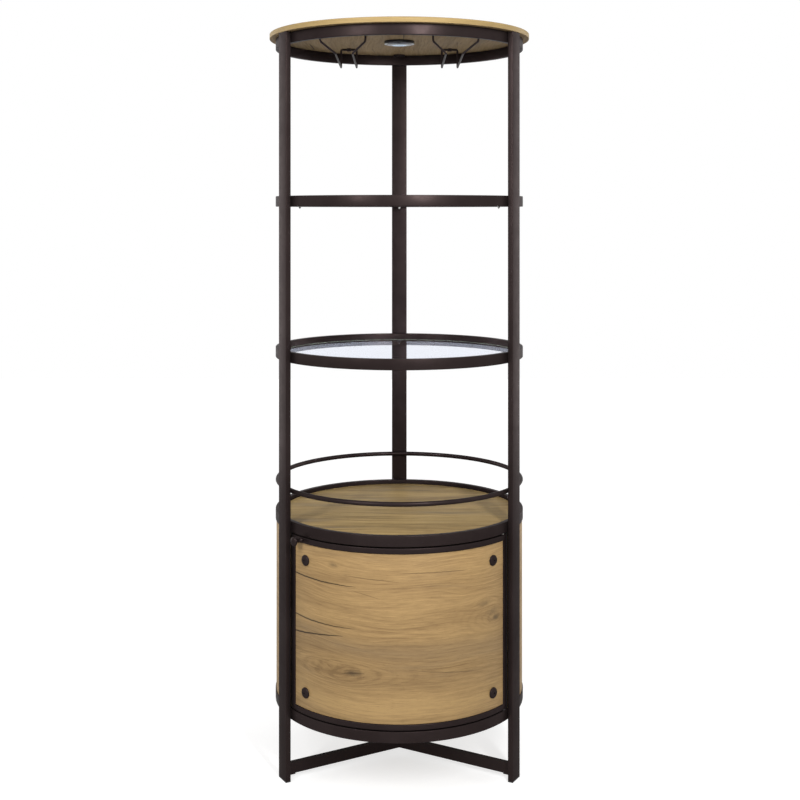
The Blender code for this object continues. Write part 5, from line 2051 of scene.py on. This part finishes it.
@dataclass
class Fasteners(Maker):
    """Every small screw of the cabinet, set by one tree."""

    tree: GeometrySheet
    rings: RingStack
    racks: StemwareRacks
    board: Screw = Screw(0.0045, 0.0023)
    side: Screw = Screw(0.0036, 0.0019)
    clip: Screw = Screw(0.0030, 0.0016)
    catch: Screw = Screw(0.0028, 0.0014, bare=True)
    catch_angle: float = -41.25
    catch_hole: float = 0.0155
    recess_width: float = 0.24
    recess_length: float = 1.15
    recess_depth: float = 0.6

    def lay(self, name: str, places: list[tuple[Vector, Vector]], screw: Screw) -> None:
        """Set one kind of screw.

        Args:
            name: the piece's name.
            places: the foot and the facing of each head.
            screw: its kind.
        """
        mesh = bpy.data.meshes.new(name + "_places")
        mesh.from_pydata([tuple(foot) for foot, facing in places], [], [])
        facing = mesh.attributes.new("facing", "FLOAT_VECTOR", "POINT")
        facing.data.foreach_set("vector", [part for foot, way in places for part in way])
        finish = self.palette.steel if screw.bare else self.palette.bronze
        draft = Draft()
        draft.add(self.tree.grow(
            mesh, Head_Radius=screw.head, Head_Height=screw.tall, Recess_Width=screw.head * self.recess_width,
            Recess_Length=screw.head * self.recess_length, Recess_Depth=screw.tall * self.recess_depth,
            Finish=finish,
        ))
        draft.make(name, [finish], Body.CABINET)

    def build(self) -> None:
        """Set the screws of the boards, sides, clips and catch."""
        rings, racks = self.rings, self.racks
        down = Vector((0.0, 0.0, -1.0))
        self.lay("board_screws", [
            (polar(rings.hole_at, side.value, rings.tab_foot(name)), down)
            for name in ("top_ring", "drum_top_ring", "drum_bottom_ring") for side in Side
        ], self.board)
        middle = rings.cleat[1] / 2
        heights = (
            rings.ring_foot("drum_top_ring") - middle,
            rings.ring_foot("drum_bottom_ring") + rings.height + middle,
        )
        self.lay("side_screws", [
            (polar(rings.cleat_back, angle, height), -polar(1.0, angle))
            for angle in rings.cleat_angles for height in heights
        ], self.side)
        level = underside("top_panel") - FIT_GAP - racks.clip_thickness
        self.lay("clip_screws", [
            (Vector((x, racks.reach + y, level)), down)
            for x in (-racks.offset, racks.offset) for y in (-racks.clip_hole, racks.clip_hole)
        ], self.clip)
        low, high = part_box("catch_body")
        foot = Vector(((low.x + high.x) / 2, (low.y + high.y) / 2, low.z))
        aside = polar(self.catch_hole, self.catch_angle + 90.0)
        self.lay("catch_screws", [(foot + sign * aside, down) for sign in (-1, 1)], self.catch)


@dataclass
class WeldBeads(Maker):
    """The welds that show where the tabs and the brace's arms join."""

    tree: GeometrySheet
    rings: RingStack
    tab_bead: float = 0.0013
    tab_share: float = 0.9
    tab_lap: float = 0.0004
    arm_bead: float = 0.0012
    arm_corner: float = 0.0072
    arm_ends: tuple[float, float] = (0.004, 0.0015)
    pitch: float = 0.9

    def run(self, name: str, paths: list[list[Vector]], radius: float) -> None:
        """Lay one piece's welds along its paths.

        Args:
            name: the piece's name.
            paths: the points along each weld.
            radius: the drops' radius.
        """
        draft = Draft()
        for seed, path in enumerate(paths):
            draft.add(self.tree.grow(
                edge_run(path), Bead_Radius=radius, Spacing=radius * self.pitch, Seed=seed,
                Finish=self.palette.bronze,
            ))
        self.coat(draft, name)

    def build(self) -> None:
        """Weld the tabs to the rings and the arms of the brace to each other."""
        rings = self.rings
        half = rings.tab[0] / 2
        for name in rings.names:
            level = rings.tab_foot(name) + (0.0 if name == "top_ring" else rings.tab_thickness)
            row = [
                Vector((share * half, self.tab_lap - rings.inner, level))
                for share in (-self.tab_share, 0.0, self.tab_share)
            ]
            paths = [[turned_to(side.value) @ point for point in row] for side in Side]
            self.run("welds_" + name, paths, self.tab_bead)
        heights = (underside("base_brace") + self.arm_ends[0], topside("base_brace") - self.arm_ends[1])
        arms = [[polar(self.arm_corner, side.value + 60.0, height) for height in heights] for side in Side]
        self.run("welds_brace", arms, self.arm_bead)


@dataclass
class CarriedOver(Maker):
    """The model's own pieces whose shape is already right, given their finish."""

    def build(self) -> None:
        """Dress the pivots, the catch and the lamp's base."""
        steel, black = self.palette.steel, self.palette.black
        finishes = {
            "hinge_pin_top": steel, "hinge_pin_bottom": steel, "hinge_washer": black, "catch_body": black,
            "catch_magnet": steel, "catch_strike": steel, "lamp_base": black,
        }
        for node, finish in finishes.items():
            for slot in bpy.data.objects[node].material_slots:
                slot.material = finish
            log.info("%s: %s", node, finish.name)


@dataclass(frozen=True)
class Softbox:
    """A rectangular softbox: where it hangs, what it faces, its size and its power in watts."""

    name: str
    place: tuple[float, float, float]
    target: tuple[float, float, float]
    size: tuple[float, float]
    power: float

    def hang(self) -> None:
        """Hang the softbox in the scene."""
        data = bpy.data.lights.new(self.name, "AREA")
        data.shape = "RECTANGLE"
        data.size, data.size_y = self.size
        data.energy = self.power
        light = bpy.data.objects.new(self.name, data)
        bpy.context.scene.collection.objects.link(light)
        light.location = self.place
        facing = Vector(self.target) - Vector(self.place)
        light.rotation_euler = facing.to_track_quat("-Z", "Y").to_euler()


@dataclass
class Studio:
    """A plain pale floor, plain soft light and the photograph's camera."""

    eye: tuple[float, float, float] = (0.0, -3.153, 1.338)
    lens: float = 57.24
    sensor: float = 36.0
    shift: tuple[float, float] = (0.000875, -0.2356)
    floor_size: float = 14.0
    floor_tone: float = 0.54
    floor_mottle: float = 0.98
    floor_rough: float = 0.9
    floor_white: float = 0.68
    white_from: float = 0.6
    floor_gloss: tuple[float, float] = (0.45, 0.75)
    gloss_from: float = 1.2
    fill: float = 0.24
    softboxes: tuple[Softbox, ...] = (
        Softbox("strip_left", (-1.386, -2.094, 2.10), (0.0, 0.0, 1.6), (0.20, 1.3), 29.0),
        Softbox("strip_right", (0.820, -2.360, 2.10), (0.0, 0.0, 1.6), (0.20, 1.3), 48.0),
        Softbox("softbox_left", (-2.45, 1.73, 1.2), (0.0, 0.0, 1.2), (1.2, 2.1), 32.0),
        Softbox("softbox_right", (2.45, 1.73, 1.2), (0.0, 0.0, 1.2), (1.2, 2.1), 32.0),
        Softbox("softbox_top", (0.0, -0.9, 3.7), (0.0, 0.0, 0.6), (2.4, 2.4), 24.0),
    )

    def build(self) -> None:
        """Lay the floor, hang the lights and set the camera."""
        self.build_floor()
        self.build_world()
        for softbox in self.softboxes:
            softbox.hang()
        camera = bpy.data.objects.new("camera", bpy.data.cameras.new("camera"))
        bpy.context.scene.collection.objects.link(camera)
        camera.location = self.eye
        camera.rotation_euler = (pi / 2, 0.0, 0.0)
        camera.data.lens = self.lens
        camera.data.sensor_width = self.sensor
        camera.data.shift_x, camera.data.shift_y = self.shift
        bpy.context.scene.camera = camera
        bpy.context.scene.view_settings.view_transform = "Standard"

    def build_floor(self) -> None:
        """Lay a pale floor that glows a little, so that it stays white but keeps a shadow."""
        half = self.floor_size / 2
        corners = [(-half, -half, 0), (half, -half, 0), (half, half, 0), (-half, half, 0)]
        mesh = bpy.data.meshes.new("floor")
        mesh.from_pydata(corners, [], [(0, 1, 2, 3)])
        floor = bpy.data.objects.new("floor", mesh)
        bpy.context.scene.collection.objects.link(floor)
        mesh.materials.append(self.floor_paper(half))

    def floor_paper(self, half: float) -> Material:
        """Build the floor's paper.

        Args:
            half: half the floor's size.

        Returns:
            The material, which glows more towards the floor's edges.
        """
        material, sheet, shader = shader_sheet("floor_paper", (0.8, 0.8, 0.8))
        place = sheet.here()
        tone = dimmed(WHITE, self.floor_tone)
        mottle = sheet.span(sheet.noise(place, 30.0, 3.0, 0.6), 0.3, 0.7)
        away = sheet.length(place)
        white = sheet.span(away, self.white_from, half, self.floor_white, 1.0)
        paler = sheet.span(away, self.gloss_from, half, *self.floor_gloss)
        rays = sheet.node("ShaderNodeLightPath").outputs
        plain = sheet.math("MAXIMUM", rays["Is Camera Ray"], rays["Is Transmission Ray"])
        glow = sheet.times(plain, white)
        sheet.wire(shader, {
            "Base Color": sheet.mix(mottle, dimmed(tone, self.floor_mottle), tone),
            "Roughness": self.floor_rough,
            "Specular IOR Level": 0.0,
            "Emission Color": opaque(WHITE),
            "Emission Strength": sheet.math("MULTIPLY_ADD", rays["Is Glossy Ray"], paler, glow),
        })
        return material

    def build_world(self) -> None:
        """Show plain white behind the cabinet and in its reflections, with a softer fill."""
        world = bpy.data.worlds.new("white_room")
        world.use_nodes = True
        bpy.context.scene.world = world
        sheet = Sheet(world.node_tree)
        rays = sheet.node("ShaderNodeLightPath").outputs
        seen = sheet.math("MAXIMUM", rays["Is Camera Ray"], rays["Is Glossy Ray"])
        seen = sheet.math("MAXIMUM", seen, rays["Is Transmission Ray"])
        strength = sheet.plus(sheet.times(seen, 1.0 - self.fill), self.fill)
        background = world.node_tree.nodes["Background"]
        sheet.wire(background, {"Color": opaque(WHITE), "Strength": strength})


def main() -> None:
    """Build the cabinet in order, then the studio."""
    logging.basicConfig(level=logging.INFO, format="%(name)s %(message)s")
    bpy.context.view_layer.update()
    palette = Palette()
    rings = RingStack(palette, rolled_ring_tree())
    racks = StemwareRacks(palette, bent_wire_tree())
    makers = (
        rings, TopBoard(palette), Legs(palette), Brace(palette), GlassShelves(palette), GalleryRail(palette),
        DrumBoards(palette), CurvedSides(palette), CurvedDoor(palette), racks, PushLamp(palette),
        Fasteners(palette, fastener_tree(), rings, racks), WeldBeads(palette, weld_bead_tree(), rings),
        CarriedOver(palette), Studio(),
    )
    for maker in makers:
        maker.build()


if __name__ == "__main__":
    main()
